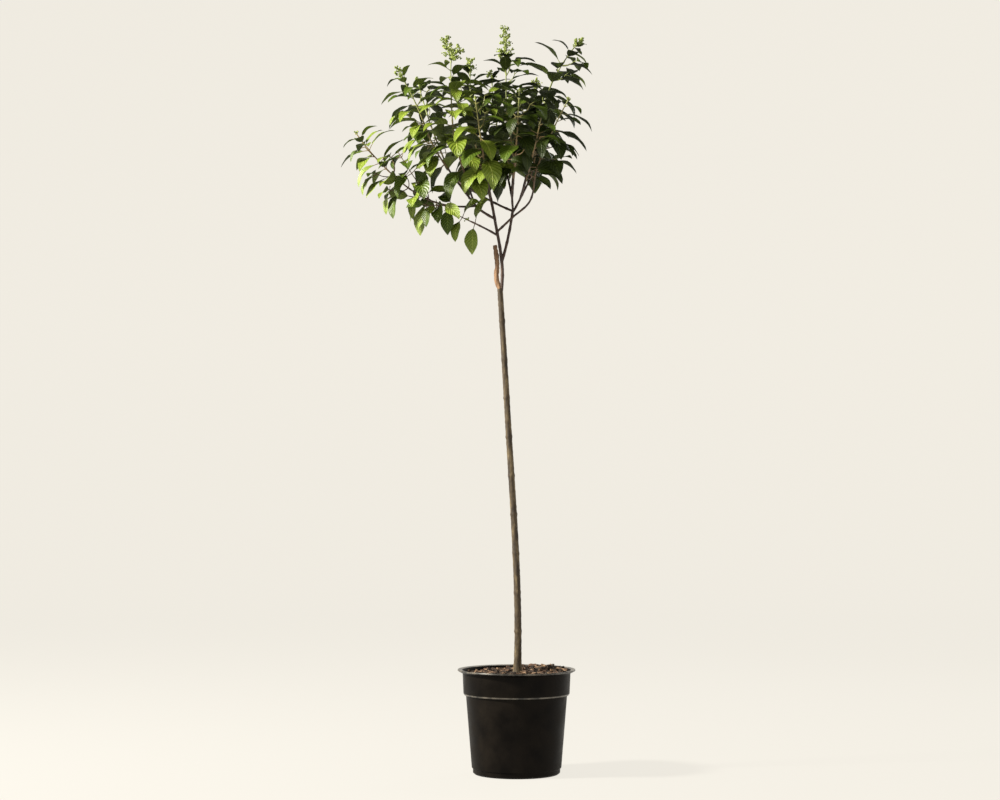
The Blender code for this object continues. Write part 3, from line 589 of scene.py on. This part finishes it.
def add_tube(bm, course, radii, sides):
    """A closed tube along the course, added to the bmesh. Returns its rings of vertices."""
    rings = []
    for place, radius in zip(frames_along(course), radii):
        squash = Matrix.Diagonal((radius, radius, 1.0, 1.0))
        rings.append(bmesh.ops.create_circle(bm, segments=sides, radius=1.0, matrix=place @ squash)["verts"])
    edges = [ring_edges(ring) for ring in rings]
    faces = []
    for first, second in zip(edges, edges[1:]):
        faces += bmesh.ops.bridge_loops(bm, edges=first + second)["faces"]
    for ends in (edges[0], edges[-1]):
        faces += bmesh.ops.contextual_create(bm, geom=ends)["faces"]
    bmesh.ops.recalc_face_normals(bm, faces=faces)
    return rings


# %% [markdown]
# ## Stem
# The stem is one year-old shoot grown straight up: smooth tan bark, a slight bow, a flare at the
# mulch, and a pair of dark leaf scars every 8 cm. The scars are a swelling of the tube and a darker
# band in the bark. Small knocks from noise keep the outline from looking turned.

# %% Stem
STEM_POINTS = ((0.002, 0.000, 0.2063), (0.002, 0.000, 0.360), (-0.019, 0.000, 0.751), (-0.034, 0.000, 0.999))
STEM_LOW, STEM_HIGH = 0.2063, 0.999
KNOTS = [0.290 + 0.0803 * k for k in range(9)]


def stem_radius(height):
    radius = blend(0.0074, 0.0058, (height - STEM_LOW) / (STEM_HIGH - STEM_LOW))
    radius += 0.0028 * math.exp(-(height - STEM_LOW) / 0.0160)
    nearest = min(abs(height - knot) for knot in KNOTS)
    return radius + 0.0008 * math.exp(-(nearest / 0.0034) ** 2)


def roughen(rings, depth, scale):
    """Pushes each vertex in or out from its ring's middle by smooth noise."""
    for ring in rings:
        middle = sum((vert.co for vert in ring), Vector()) / len(ring)
        for vert in ring:
            vert.co += (vert.co - middle).normalized() * depth * noise.noise(vert.co * scale)


stem_line = smooth_course(STEM_POINTS, 0.0022)
bm = bmesh.new()
rings = add_tube(bm, stem_line, [stem_radius(p.z) for p in stem_line], 20)
roughen(rings, 0.0005, 160.0)
for face in bm.faces:
    height = face.calc_center_median().z
    scar = min(abs(height - knot) for knot in KNOTS) < 0.0012 and abs(face.normal.x) > 0.75
    face.material_index = 1 if scar else 0
finish_piece("stem_skin", bm, [stem_bark, young_bark], ["stem"], 60)

# %% [markdown]
# The old leader was cut off just above the fork. Its stub is dead wood, knobbly and paler, with a
# flat pale cut at the top.

# %% Cut-off leader
STUB_POINTS = ((-0.0342, 0.000, 0.9993), (-0.041, 0.001, 1.020), (-0.040, 0.001, 1.050),
               (-0.045, 0.000, 1.090))
stub_line = smooth_course(STUB_POINTS, 0.002)
stub_length = course_length(stub_line)
stub_radii = []
for k in range(len(stub_line)):
    share = k / (len(stub_line) - 1)
    stub_radii.append(blend(0.0054, 0.0042, share) + 0.0008 * math.exp(-((share - 0.74) / 0.09) ** 2))
bm = bmesh.new()
rings = add_tube(bm, stub_line, stub_radii, 18)
roughen(rings, 0.0011, 210.0)
top = max(bm.faces, key=lambda face: face.calc_center_median().z)
top.material_index = 1
finish_piece("cut_leader_skin", bm, [old_wood, cut_wood], ["cut_leader"], 50)

# %% [markdown]
# ## Leaders and boughs
# Two leaders carry the boughs. Each bough is a year-old shoot, dark and reddish, that leaves its
# parent at a narrow angle and rises. A swelling stands where each pair of leaves fell last year.

# %% The limbs' courses
LEADERS = {
    "left_leader": ("stem", ((-0.032, -0.001, 0.984), (-0.029, -0.002, 1.030), (-0.032, -0.001, 1.070),
                             (-0.045, 0.000, 1.145), (-0.053, 0.000, 1.189)), 0.0036, 0.0029),
    "right_leader": ("left_leader", ((-0.030, 0.000, 1.055), (-0.016, 0.012, 1.113), (-0.007, 0.014, 1.168)),
                     0.0031, 0.0027),
    "left_limb": ("left_leader", ((-0.045, 0.000, 1.145), (-0.066, -0.005, 1.157), (-0.086, -0.010, 1.171)),
                  0.0028, 0.0025),
}
SHOOTS = {
    "far_left": ("left_limb", ((-0.086, -0.010, 1.171), (-0.138, -0.020, 1.170), (-0.189, -0.030, 1.184),
                               (-0.249, -0.030, 1.226), (-0.333, -0.030, 1.320)), 0.040, 90, 0.078, 0.000),
    "tall_left": ("left_limb", ((-0.085, -0.010, 1.171), (-0.104, -0.040, 1.224), (-0.127, -0.070, 1.300),
                                (-0.134, -0.088, 1.387), (-0.134, -0.092, 1.463)), 0.050, 20, 0.082, 0.045),
    "upper_left": ("left_limb", ((-0.080, -0.008, 1.168), (-0.127, -0.020, 1.226), (-0.170, -0.040, 1.288),
                                 (-0.204, -0.060, 1.368), (-0.236, -0.070, 1.430)), 0.105, 60, 0.080, 0.022),
    "centre": ("right_leader", ((-0.007, 0.014, 1.168), (-0.009, 0.012, 1.208), (-0.005, 0.010, 1.271),
                                (-0.018, 0.000, 1.353), (-0.020, -0.010, 1.485)), 0.058, 15, 0.082, 0.060),
    "right": ("right_leader", ((-0.008, 0.014, 1.160), (0.010, 0.020, 1.194), (0.033, 0.030, 1.247),
                               (0.044, 0.050, 1.325), (0.072, 0.070, 1.436), (0.128, 0.080, 1.530)),
              0.105, 0, 0.082, 0.018),
    "outer_right": ("left_leader", ((-0.039, 0.000, 1.119), (-0.009, -0.018, 1.145), (0.028, -0.030, 1.178),
                                    (0.040, -0.050, 1.235), (0.067, -0.070, 1.302), (0.107, -0.080, 1.381)),
                    0.125, 25, 0.082, 0.000),
    "inner_left": ("right_leader", ((-0.007, 0.014, 1.163), (-0.038, 0.030, 1.180), (-0.087, 0.050, 1.210),
                                    (-0.130, 0.070, 1.243), (-0.162, 0.100, 1.309), (-0.208, 0.128, 1.450)),
                   0.190, 40, 0.078, 0.020),
    "back_left": ("left_leader", ((-0.050, 0.000, 1.172), (-0.068, 0.050, 1.246), (-0.090, 0.115, 1.345),
                                  (-0.099, 0.148, 1.490)), 0.080, 70, 0.080, 0.024),
    "front_left": ("left_leader", ((-0.053, 0.000, 1.189), (-0.060, -0.035, 1.222), (-0.070, -0.090, 1.275),
                                   (-0.084, -0.140, 1.370)), 0.050, 35, 0.080, 0.000),
    "front_centre": ("centre", ((-0.009, 0.012, 1.190), (-0.006, -0.030, 1.220), (-0.001, -0.095, 1.275),
                                (0.005, -0.150, 1.385)), 0.060, 55, 0.078, 0.000),
    "front_right": ("right", ((0.006, 0.018, 1.187), (0.018, -0.030, 1.215), (0.034, -0.100, 1.265),
                              (0.050, -0.150, 1.335)), 0.070, 10, 0.078, 0.000),
    "back_centre": ("centre", ((-0.009, 0.012, 1.193), (-0.018, 0.055, 1.245), (-0.036, 0.125, 1.335),
                               (-0.052, 0.170, 1.475)), 0.070, 30, 0.080, 0.022),
    "back_right": ("right", ((0.008, 0.019, 1.190), (0.020, 0.060, 1.240), (0.034, 0.120, 1.320),
                             (0.044, 0.160, 1.455)), 0.075, 75, 0.080, 0.020),
    "low_left": ("left_leader", ((-0.038, 0.000, 1.112), (-0.067, -0.010, 1.125), (-0.104, -0.022, 1.141)),
                 0.045, 95, 0.068, 0.000),
}
SIDE_SHOOTS = {
    "far_left": [((-0.183, -0.030, 1.184), (-0.219, -0.058, 1.236), (-0.243, -0.078, 1.272)),
                 ((-0.140, -0.021, 1.170), (-0.150, -0.045, 1.166), (-0.166, -0.075, 1.164)),
                 ((-0.200, -0.030, 1.190), (-0.208, -0.010, 1.190), (-0.225, 0.020, 1.196))],
    "low_left": [((-0.103, -0.022, 1.140), (-0.126, -0.026, 1.151), (-0.150, -0.030, 1.158))],
}
LIMB_STEP = 0.004
KNEE_SPACING = 0.030


def swollen(course, foot_r, tip_r):
    """An even taper with a slight swelling at each old leaf pair."""
    length = course_length(course)
    radii = []
    for k in range(len(course)):
        share = k / (len(course) - 1)
        offset = (share * length) % KNEE_SPACING - 0.5 * KNEE_SPACING
        radii.append(blend(foot_r, tip_r, share) + 0.0005 * math.exp(-(offset / 0.0028) ** 2))
    return radii


# %% Leaders and boughs
limb_lines = {"stem": stem_line}
bm = bmesh.new()
for name, (parent, points, foot_r, tip_r) in LEADERS.items():
    points = [nearest_on(limb_lines[parent], Vector(points[0])), *points[1:]]
    limb_lines[name] = smooth_course(points, LIMB_STEP)
    roughen(add_tube(bm, limb_lines[name], swollen(limb_lines[name], foot_r, tip_r), 12), 0.0004, 260.0)
finish_piece("leader_skins", bm, [young_bark], list(LEADERS), 60)
bm = bmesh.new()
leafy_lines = {}
for name, (parent, points, bare, _, _, _) in SHOOTS.items():
    points = [nearest_on(limb_lines[parent], Vector(points[0])), *points[1:]]
    limb_lines[name] = smooth_course(points, LIMB_STEP)
    bough = part_of(limb_lines[name], 0.0, bare)
    roughen(add_tube(bm, bough, swollen(bough, 0.0025, 0.0019), 10), 0.0003, 300.0)
    leafy_lines[name] = part_of(limb_lines[name], bare, course_length(limb_lines[name]))
finish_piece("bough_skins", bm, [young_bark], [name + "_bough" for name in SHOOTS], 60)


# %% [markdown]
# ## Leaves by rule
# The leaves stand in pairs, each pair turned a quarter turn from the last, closer together and
# steeper towards the tip. Every leaf arches over under its weight and twists to face the light.
# The rule is the solids' own, carried further: the pairs stand closer and more side twigs grow. A
# leaf that would cut a limb or another leaf is tried again a few times and then left out.

# %% The rule's numbers
PAIR_SPACING_LOW = 0.027
PAIR_SPACING_HIGH = 0.014
FIRST_PAIR = 0.010
LAST_PAIR_BEFORE_TIP = 0.003
LEAF_WIDTH = 0.50
YOUNG_LEAF_WIDTH = 0.34
LEAF_STEPS = 12
STALK_STEPS = 2
STALK_HALF = 0.0007
RISE_LOW, RISE_HIGH = 0, 40
DROOP_LOW, DROOP_HIGH = 84, 62
TWIST_SHARE = 0.26
TWIST_LIMIT = 10
TURN_SPREAD = 12
BEND_SPREAD = 9
ROLL_SPREAD = 14
TRIES = 6
TWIG_CHANCE = 0.30
TWIG_LENGTH = 0.034
TWIG_R = 0.0009
TWIG_LEAF = 0.72
SOFT_EDGE = 0.019
FORK_LEFT = -0.075
FORK_FLOOR_LEFT = 1.165
FORK_FLOOR_RIGHT = 1.215
FORK_FLOOR_DIP = 0.025
DOWN = Vector((0.0, 0.0, -1.0))
LIGHT_LOW = Vector((-0.20, -0.62, 0.76))
LIGHT_HIGH = Vector((-0.10, -0.05, 0.99))
KEEL_DOWN = Matrix.Rotation(math.pi, 4, "Z")


# %% A leaf's midrib
def leaf_outline(share):
    """Half the blade's width at a share of the blade's length, as a share of its greatest half width."""
    return math.sin(math.pi * share ** 0.78) ** 0.9 if 0.0 < share < 1.0 else 0.0


def turn_to_light(heading, up, source):
    """The twist of one step, which brings the blade's upper side a little nearer the light."""
    light = source - heading * source.dot(heading)
    angle = up.angle(light, 0.0)
    if heading.dot(up.cross(light)) < 0.0:
        angle = -angle
    limit = math.radians(TWIST_LIMIT)
    return min(max(TWIST_SHARE * light.length * angle, -limit), limit)


def leaf_frames(foot, heading, up, length, droop, roll, source):
    """A frame at each step of a leaf's midrib: Y is the leaf's upper side, Z runs to its tip."""
    step = length / LEAF_STEPS
    place = foot.copy()
    heading = heading.normalized()
    up = (up - heading * up.dot(heading)).normalized()
    frames = []
    for k in range(LEAF_STEPS + 1):
        here = Matrix((up.cross(heading), up, heading)).transposed().to_4x4()
        here.translation = place
        frames.append(here)
        turn = min(droop * (0.5 + k / LEAF_STEPS) / LEAF_STEPS, 0.6 * heading.angle(DOWN))
        axis = heading.cross(DOWN)
        if axis.length > 0.02:
            bend = Matrix.Rotation(turn, 3, axis.normalized())
            heading = (bend @ heading).normalized()
            up = bend @ up
        twist = roll / STALK_STEPS if k < STALK_STEPS else turn_to_light(heading, up, source)
        up = Matrix.Rotation(twist, 3, heading) @ up
        up = (up - heading * up.dot(heading)).normalized()
        place = place + heading * step
    return frames


# %% Probes that keep leaves apart
def leaf_probe(frames, length, width, stations):
    """A coarse thin leaf as a search tree, with its middle and reach."""
    bm = bmesh.new()
    rings = []
    for k in stations:
        share = (k - STALK_STEPS) / (LEAF_STEPS - STALK_STEPS)
        half = max(0.5 * width * length * leaf_outline(share), STALK_HALF)
        squash = Matrix.Diagonal((half / math.sin(math.tau / 3), STALK_HALF, 1.0, 1.0))
        place = frames[k] @ KEEL_DOWN @ squash
        rings.append(bmesh.ops.create_circle(bm, segments=3, radius=1.0, matrix=place)["verts"])
    edges = [ring_edges(ring) for ring in rings]
    for first, second in zip(edges, edges[1:]):
        bmesh.ops.bridge_loops(bm, edges=first + second)
    return probe(bm)


def probe(bm):
    """A search tree of the mesh with its middle and reach. It uses the bmesh up."""
    middle = sum((vert.co for vert in bm.verts), Vector()) / len(bm.verts)
    reach = max((vert.co - middle).length for vert in bm.verts)
    tree = BVHTree.FromBMesh(bm)
    bm.free()
    return tree, middle, reach


def meet(first, second):
    return (first[1] - second[1]).length < first[2] + second[2] and bool(first[0].overlap(second[0]))


grown = []


def is_free(whole, blade, owner):
    """True if the leaf clears the other shoots, and its blade clears its own shoot."""
    for other, other_whole, other_blade in grown:
        if other != owner:
            if meet(whole, other_whole):
                return False
        elif meet(blade, other_blade):
            return False
    return True


for name, line in limb_lines.items():
    bm = bmesh.new()
    add_tube(bm, line[::3] + [line[-1]], [0.0024] * (len(line[::3]) + 1), 4)
    tube = probe(bm)
    grown.append((name, tube, tube))


# %% Leaves and twigs of every shoot
def across(direction, degrees):
    """A unit vector square to the direction, turned about it from the side nearest the front."""
    front = Vector((0.0, -1.0, 0.0))
    side = (front - direction * front.dot(direction)).normalized()
    return Matrix.Rotation(math.radians(degrees), 3, direction) @ side


def leaf_size(share):
    """A leaf's length as a share of the largest, by its place along the shoot."""
    return 0.88 + 0.12 * ease(share / 0.35) - 0.50 * ease((share - 0.78) / 0.22)


def is_in_the_fork(tip):
    """True in the open space between the boughs, where no leaf hangs."""
    floor = blend(FORK_FLOOR_LEFT, FORK_FLOOR_RIGHT, ease((tip.x + 0.060) / 0.045))
    floor -= FORK_FLOOR_DIP * ease((tip.x - 0.045) / 0.020)
    return tip.x > FORK_LEFT and tip.z < floor


def is_out_of_reach(tip):
    """True beyond the box of the solids, past what a soft leaf tip may stand out of it."""
    return any(not low - SOFT_EDGE < c < high + SOFT_EDGE for c, low, high in zip(tip, *cad_box))


def grow_leaf(owner, stem_point, stem_way, turn, share, size, draw):
    """One leaf by the rule, or None if it finds no room."""
    length = size * draw.uniform(0.90, 1.08)
    width = blend(LEAF_WIDTH, YOUNG_LEAF_WIDTH, ease((share - 0.30) / 0.55))
    for _ in range(TRIES):
        outward = across(stem_way, turn + draw.gauss(0.0, TURN_SPREAD))
        rise = math.radians(blend(RISE_LOW, RISE_HIGH, share) + draw.gauss(0.0, BEND_SPREAD))
        droop = math.radians(blend(DROOP_LOW, DROOP_HIGH, share) + draw.gauss(0.0, 1.5 * BEND_SPREAD))
        roll = math.radians(draw.gauss(0.0, ROLL_SPREAD))
        heading = outward * math.cos(rise) + stem_way * math.sin(rise)
        upper = stem_way * math.cos(rise) - outward * math.sin(rise)
        source = LIGHT_LOW.lerp(LIGHT_HIGH, ease((stem_point.z - 1.18) / 0.12))
        root = stem_point - heading * STALK_HALF * 0.5
        frames = leaf_frames(root, heading, upper, length, droop, roll, source)
        if is_in_the_fork(frames[-1].translation) or is_out_of_reach(frames[-1].translation):
            continue
        whole = leaf_probe(frames, length, width, (0, 2, 5, 9, 12))
        blade = leaf_probe(frames, length, width, (2, 5, 9, 12))
        if is_free(whole, blade, owner):
            grown.append((owner, whole, blade))
            return frames, length, width
    return None


def grow_shoot(owner, course, first_turn, leaf_length, draw, twig_chance):
    """The leaves and side twigs of one leafy stretch."""
    leaves = []
    twigs = []
    length = course_length(course)
    distance = FIRST_PAIR
    n = 0
    while distance < length - LAST_PAIR_BEFORE_TIP:
        share = distance / length
        point, way = point_at(course, distance)
        for side in (0, 180):
            turn = first_turn + 90 * n + side
            leaf = grow_leaf(owner, point, way, turn, share, leaf_length * leaf_size(share), draw)
            if leaf:
                leaves.append(leaf)
            if not 0.05 < share < 0.85 or draw.random() > twig_chance:
                continue
            outward = across(way, turn + draw.gauss(0.0, TURN_SPREAD))
            reach = TWIG_LENGTH * draw.uniform(0.7, 1.2)
            twig = smooth_course([point, point + (way * 0.55 + outward) * reach * 0.4,
                                  point + (way * 1.1 + outward) * reach * 0.7], 0.005)
            tip, twig_way = point_at(twig, course_length(twig))
            sprig = [grow_leaf(owner, tip, twig_way, turn + twig_side, 0.6, leaf_length * TWIG_LEAF, draw)
                     for twig_side in (90, 270, 0)]
            if any(sprig):
                twigs.append(twig)
                leaves += [leaf for leaf in sprig if leaf]
        distance += blend(PAIR_SPACING_LOW, PAIR_SPACING_HIGH, share) * draw.uniform(0.88, 1.12)
        n += 1
    return leaves, twigs


sprays = {}
for k, (name, (_, _, _, first_turn, leaf_length, _)) in enumerate(SHOOTS.items()):
    draw = random.Random(2600 + k)
    leaves, twigs = grow_shoot(name, leafy_lines[name], first_turn, leaf_length, draw, TWIG_CHANCE)
    for points in SIDE_SHOOTS.get(name, ()):
        side_line = smooth_course(points, 0.006)
        more_leaves, more_twigs = grow_shoot(name, side_line, first_turn, 0.9 * leaf_length, draw, 0.15)
        leaves += more_leaves
        twigs += [side_line, *more_twigs]
    sprays[name] = (leaves, twigs)
print("leaves:", sum(len(leaves) for leaves, _ in sprays.values()),
      "side twigs:", sum(len(twigs) for _, twigs in sprays.values()))

# %% [markdown]
# ## Leaf meshes
# One blade is enough for all of them: two grids, upper and lower side, that share their edge. The
# grid's X runs across from -1 to 1 and its Y along from 0 to 1, and the ends are drawn together to
# points. A copy is then bent along each leaf's midrib by setting its vertices, with a shallow fold
# along the midrib and a wave along the edges. Upper and lower side have a finish each.

# %% The blade
BLADE_COLUMNS = 4
BLADE_ROWS = 8
BLADE_THICKNESS = 0.0004
bm = bmesh.new()
flat_map = bm.loops.layers.uv.new("blade_map")
for layer in (0, 1):
    before = set(bm.faces)
    sheet = bmesh.ops.create_grid(bm, x_segments=BLADE_COLUMNS, y_segments=BLADE_ROWS, size=1.0)["verts"]
    bmesh.ops.translate(bm, verts=sheet, vec=(0.0, 1.0, 0.0))
    bmesh.ops.scale(bm, verts=sheet, vec=(1.0, 0.5, 1.0))
    for face in set(bm.faces) - before:
        face.material_index = layer
        for loop in face.loops:
            loop[flat_map].uv = (0.5 + 0.5 * loop.vert.co.x, loop.vert.co.y)
        if layer == 1:
            face.normal_flip()
    for vert in sheet:
        inner = abs(vert.co.x) < 0.99 and 0.01 < vert.co.y < 0.99
        vert.co.z = -1.0 if layer == 1 and inner else 0.0
        if vert.co.y < 0.01 or vert.co.y > 0.99:
            vert.co.x = 0.0
bmesh.ops.remove_doubles(bm, verts=bm.verts, dist=1e-5)
blade = bpy.data.meshes.new("blade")
bm.to_mesh(blade)
bm.free()
blade_flat = np.empty(3 * len(blade.vertices))
blade.vertices.foreach_get("co", blade_flat)
blade_flat = blade_flat.reshape(-1, 3)
blade_outline = np.array([leaf_outline(t) for t in blade_flat[:, 1]])
print("blade faces:", len(blade.polygons))


# %% Leaves laid along their midribs
def bent_blade(frames, length, width, draw):
    """The blade's vertices, bent along the midrib."""
    table = np.array([list(map(list, here)) for here in frames[STALK_STEPS:]])
    steps = blade_flat[:, 1] * (len(table) - 1)
    low = np.minimum(steps.astype(int), len(table) - 2)
    part = (steps - low)[:, None]
    middle = table[low][:, :3, 3] * (1 - part) + table[low + 1][:, :3, 3] * part
    sideways = table[low][:, :3, 0] * (1 - part) + table[low + 1][:, :3, 0] * part
    upward = table[low][:, :3, 1] * (1 - part) + table[low + 1][:, :3, 1] * part
    x = blade_flat[:, 0] * blade_outline * 0.5 * width * length
    fold = abs(x) * draw.uniform(0.10, 0.34)
    phase = draw.uniform(0.0, math.tau)
    wave = 0.10 * abs(x) * np.sin(math.tau * 1.6 * blade_flat[:, 1] + phase * np.sign(blade_flat[:, 0]))
    y = fold + wave + blade_flat[:, 2] * BLADE_THICKNESS
    return middle + sideways * x[:, None] + upward * y[:, None]


# Each shoot's main and second tone. Shoots on the lit left of the crown mostly take the painted-light copy,
# and those on the right and at the back take the painted-shade copy. Mixing two tones within a shoot stands
# for the leaves' own varied green.
TONES = {
    "far_left": ("bright", "mid"), "tall_left": ("bright", "mid"), "upper_left": ("bright", "mid"),
    "centre": ("mid", "deep"), "right": ("deep", "mid"), "outer_right": ("deep", "mid"),
    "inner_left": ("mid", "deep"), "back_left": ("mid", "deep"), "front_left": ("bright", "mid"),
    "front_centre": ("deep", "mid"), "front_right": ("deep", "mid"), "back_centre": ("deep", "mid"),
    "back_right": ("deep", "mid"), "low_left": ("bright", "mid"),
}
leaf_sets = {tone: bmesh.new() for tone in leaf_tops}
stalks = bmesh.new()
for k, (name, (leaves, _)) in enumerate(sprays.items()):
    draw = random.Random(5200 + k)
    for frames, length, width in leaves:
        tone = TONES[name][0] if draw.random() < 0.68 else TONES[name][1]
        blade.vertices.foreach_set("co", bent_blade(frames, length, width, draw).ravel())
        leaf_sets[tone].from_mesh(blade)
        stalk = [here.translation.copy() for here in frames[:STALK_STEPS + 2]]
        add_tube(stalks, stalk, [0.0010, 0.0008, 0.0007, 0.0003], 4)
for tone, bm in leaf_sets.items():
    masses = [name + "_foliage" for name in SHOOTS if TONES[name][0] == tone]
    finish_piece("leaves_" + tone, bm, [leaf_tops[tone], leaf_undersides[tone]], masses, 60)
finish_piece("leaf_stalks", stalks, [shoot_skin], (), 60)

# %% [markdown]
# ## Green shoots and side twigs
# Each leafy stretch is a tube that tapers to its tip, with a knee at the leaf pairs, and each side
# twig is a thinner one rooted in it.

# %% Shoots and twigs
bm = bmesh.new()
for name, line in leafy_lines.items():
    add_tube(bm, line, swollen(line, 0.0019, 0.0011), 8)
    for twig in sprays[name][1]:
        add_tube(bm, twig, [blend(1.3, 0.9, k / (len(twig) - 1)) * TWIG_R for k in range(len(twig))], 6)
finish_piece("shoots_and_twigs", bm, [shoot_skin], (), 60)

# %% [markdown]
# ## Panicles
# The flower heads are still in bud: short branchlets in crossed pairs, each crowded with green
# beads 2 to 3 mm across. A bead is an icosphere of twenty faces, and the beads of one branchlet
# fill a small oval that shrinks towards the top.

# %% Buds
BUD_SPACING = 0.0085
BEADS = 16
HEAD_HALF_LOW = 0.0180
HEAD_HALF_HIGH = 0.0085
LEANING_HEADS = {
    "tall_left": [(-0.30, 0.10, 1.0, 0.044), (0.75, -0.10, 0.75, 0.030)],
    "centre": [(-0.06, 0.0, 1.0, 0.062), (-0.70, -0.20, 0.60, 0.016)],
}
beads = bmesh.new()
branchlets = bmesh.new()


def grow_head(foot, way, length, half_low, count, draw):
    """One flower head in bud: crossed pairs of branchlets with beads along an axis."""
    distance = -0.002
    n = 0
    add_tube(branchlets, [foot, foot + 0.5 * way * length, foot + way * length], [0.0011, 0.0009, 0.0006], 5)
    while distance <= length:
        reach = blend(half_low, min(HEAD_HALF_HIGH, half_low), max(distance, 0.0) / length)
        for side in (0, 180):
            outward = (across(way, 90 * n + side + draw.gauss(0, 14)) + way * 0.55).normalized()
            root = foot + way * distance
            end = root + outward * reach * draw.uniform(0.75, 1.0)
            add_tube(branchlets, [root, root.lerp(end, 0.5), end], [0.0007, 0.0006, 0.0005], 4)
            for _ in range(count):
                spread = Vector((draw.gauss(0, 1), draw.gauss(0, 1), draw.gauss(0, 1))) * 0.0023
                centre = root.lerp(end, draw.uniform(0.50, 1.0)) + spread
                bmesh.ops.create_icosphere(beads, subdivisions=1, radius=draw.uniform(0.0013, 0.0021),
                                           matrix=Matrix.Translation(centre))
        distance += BUD_SPACING
        n += 1


for k, (name, (_, _, _, _, _, panicle)) in enumerate(SHOOTS.items()):
    draw = random.Random(7800 + k)
    line = leafy_lines[name]
    tip, way = point_at(line, course_length(line))
    if name in LEANING_HEADS:
        for x, y, z, length in LEANING_HEADS[name]:
            grow_head(tip, Vector((x, y, z)).normalized(), length, HEAD_HALF_LOW, BEADS, draw)
    elif panicle:
        grow_head(tip, way, panicle, 0.7 * HEAD_HALF_LOW, BEADS, draw)
    else:
        grow_head(tip, way, 0.004, 0.0045, 4, draw)
finish_piece("bud_beads", beads, [bud_green], (), 80)
finish_piece("bud_branchlets", branchlets, [shoot_skin], (), 60)

# %% [markdown]
# ## The end of the scene
# Meshes that no object uses any more are removed.

# %% Unused meshes
for mesh in [mesh for mesh in bpy.data.meshes if mesh.users == 0]:
    bpy.data.meshes.remove(mesh)
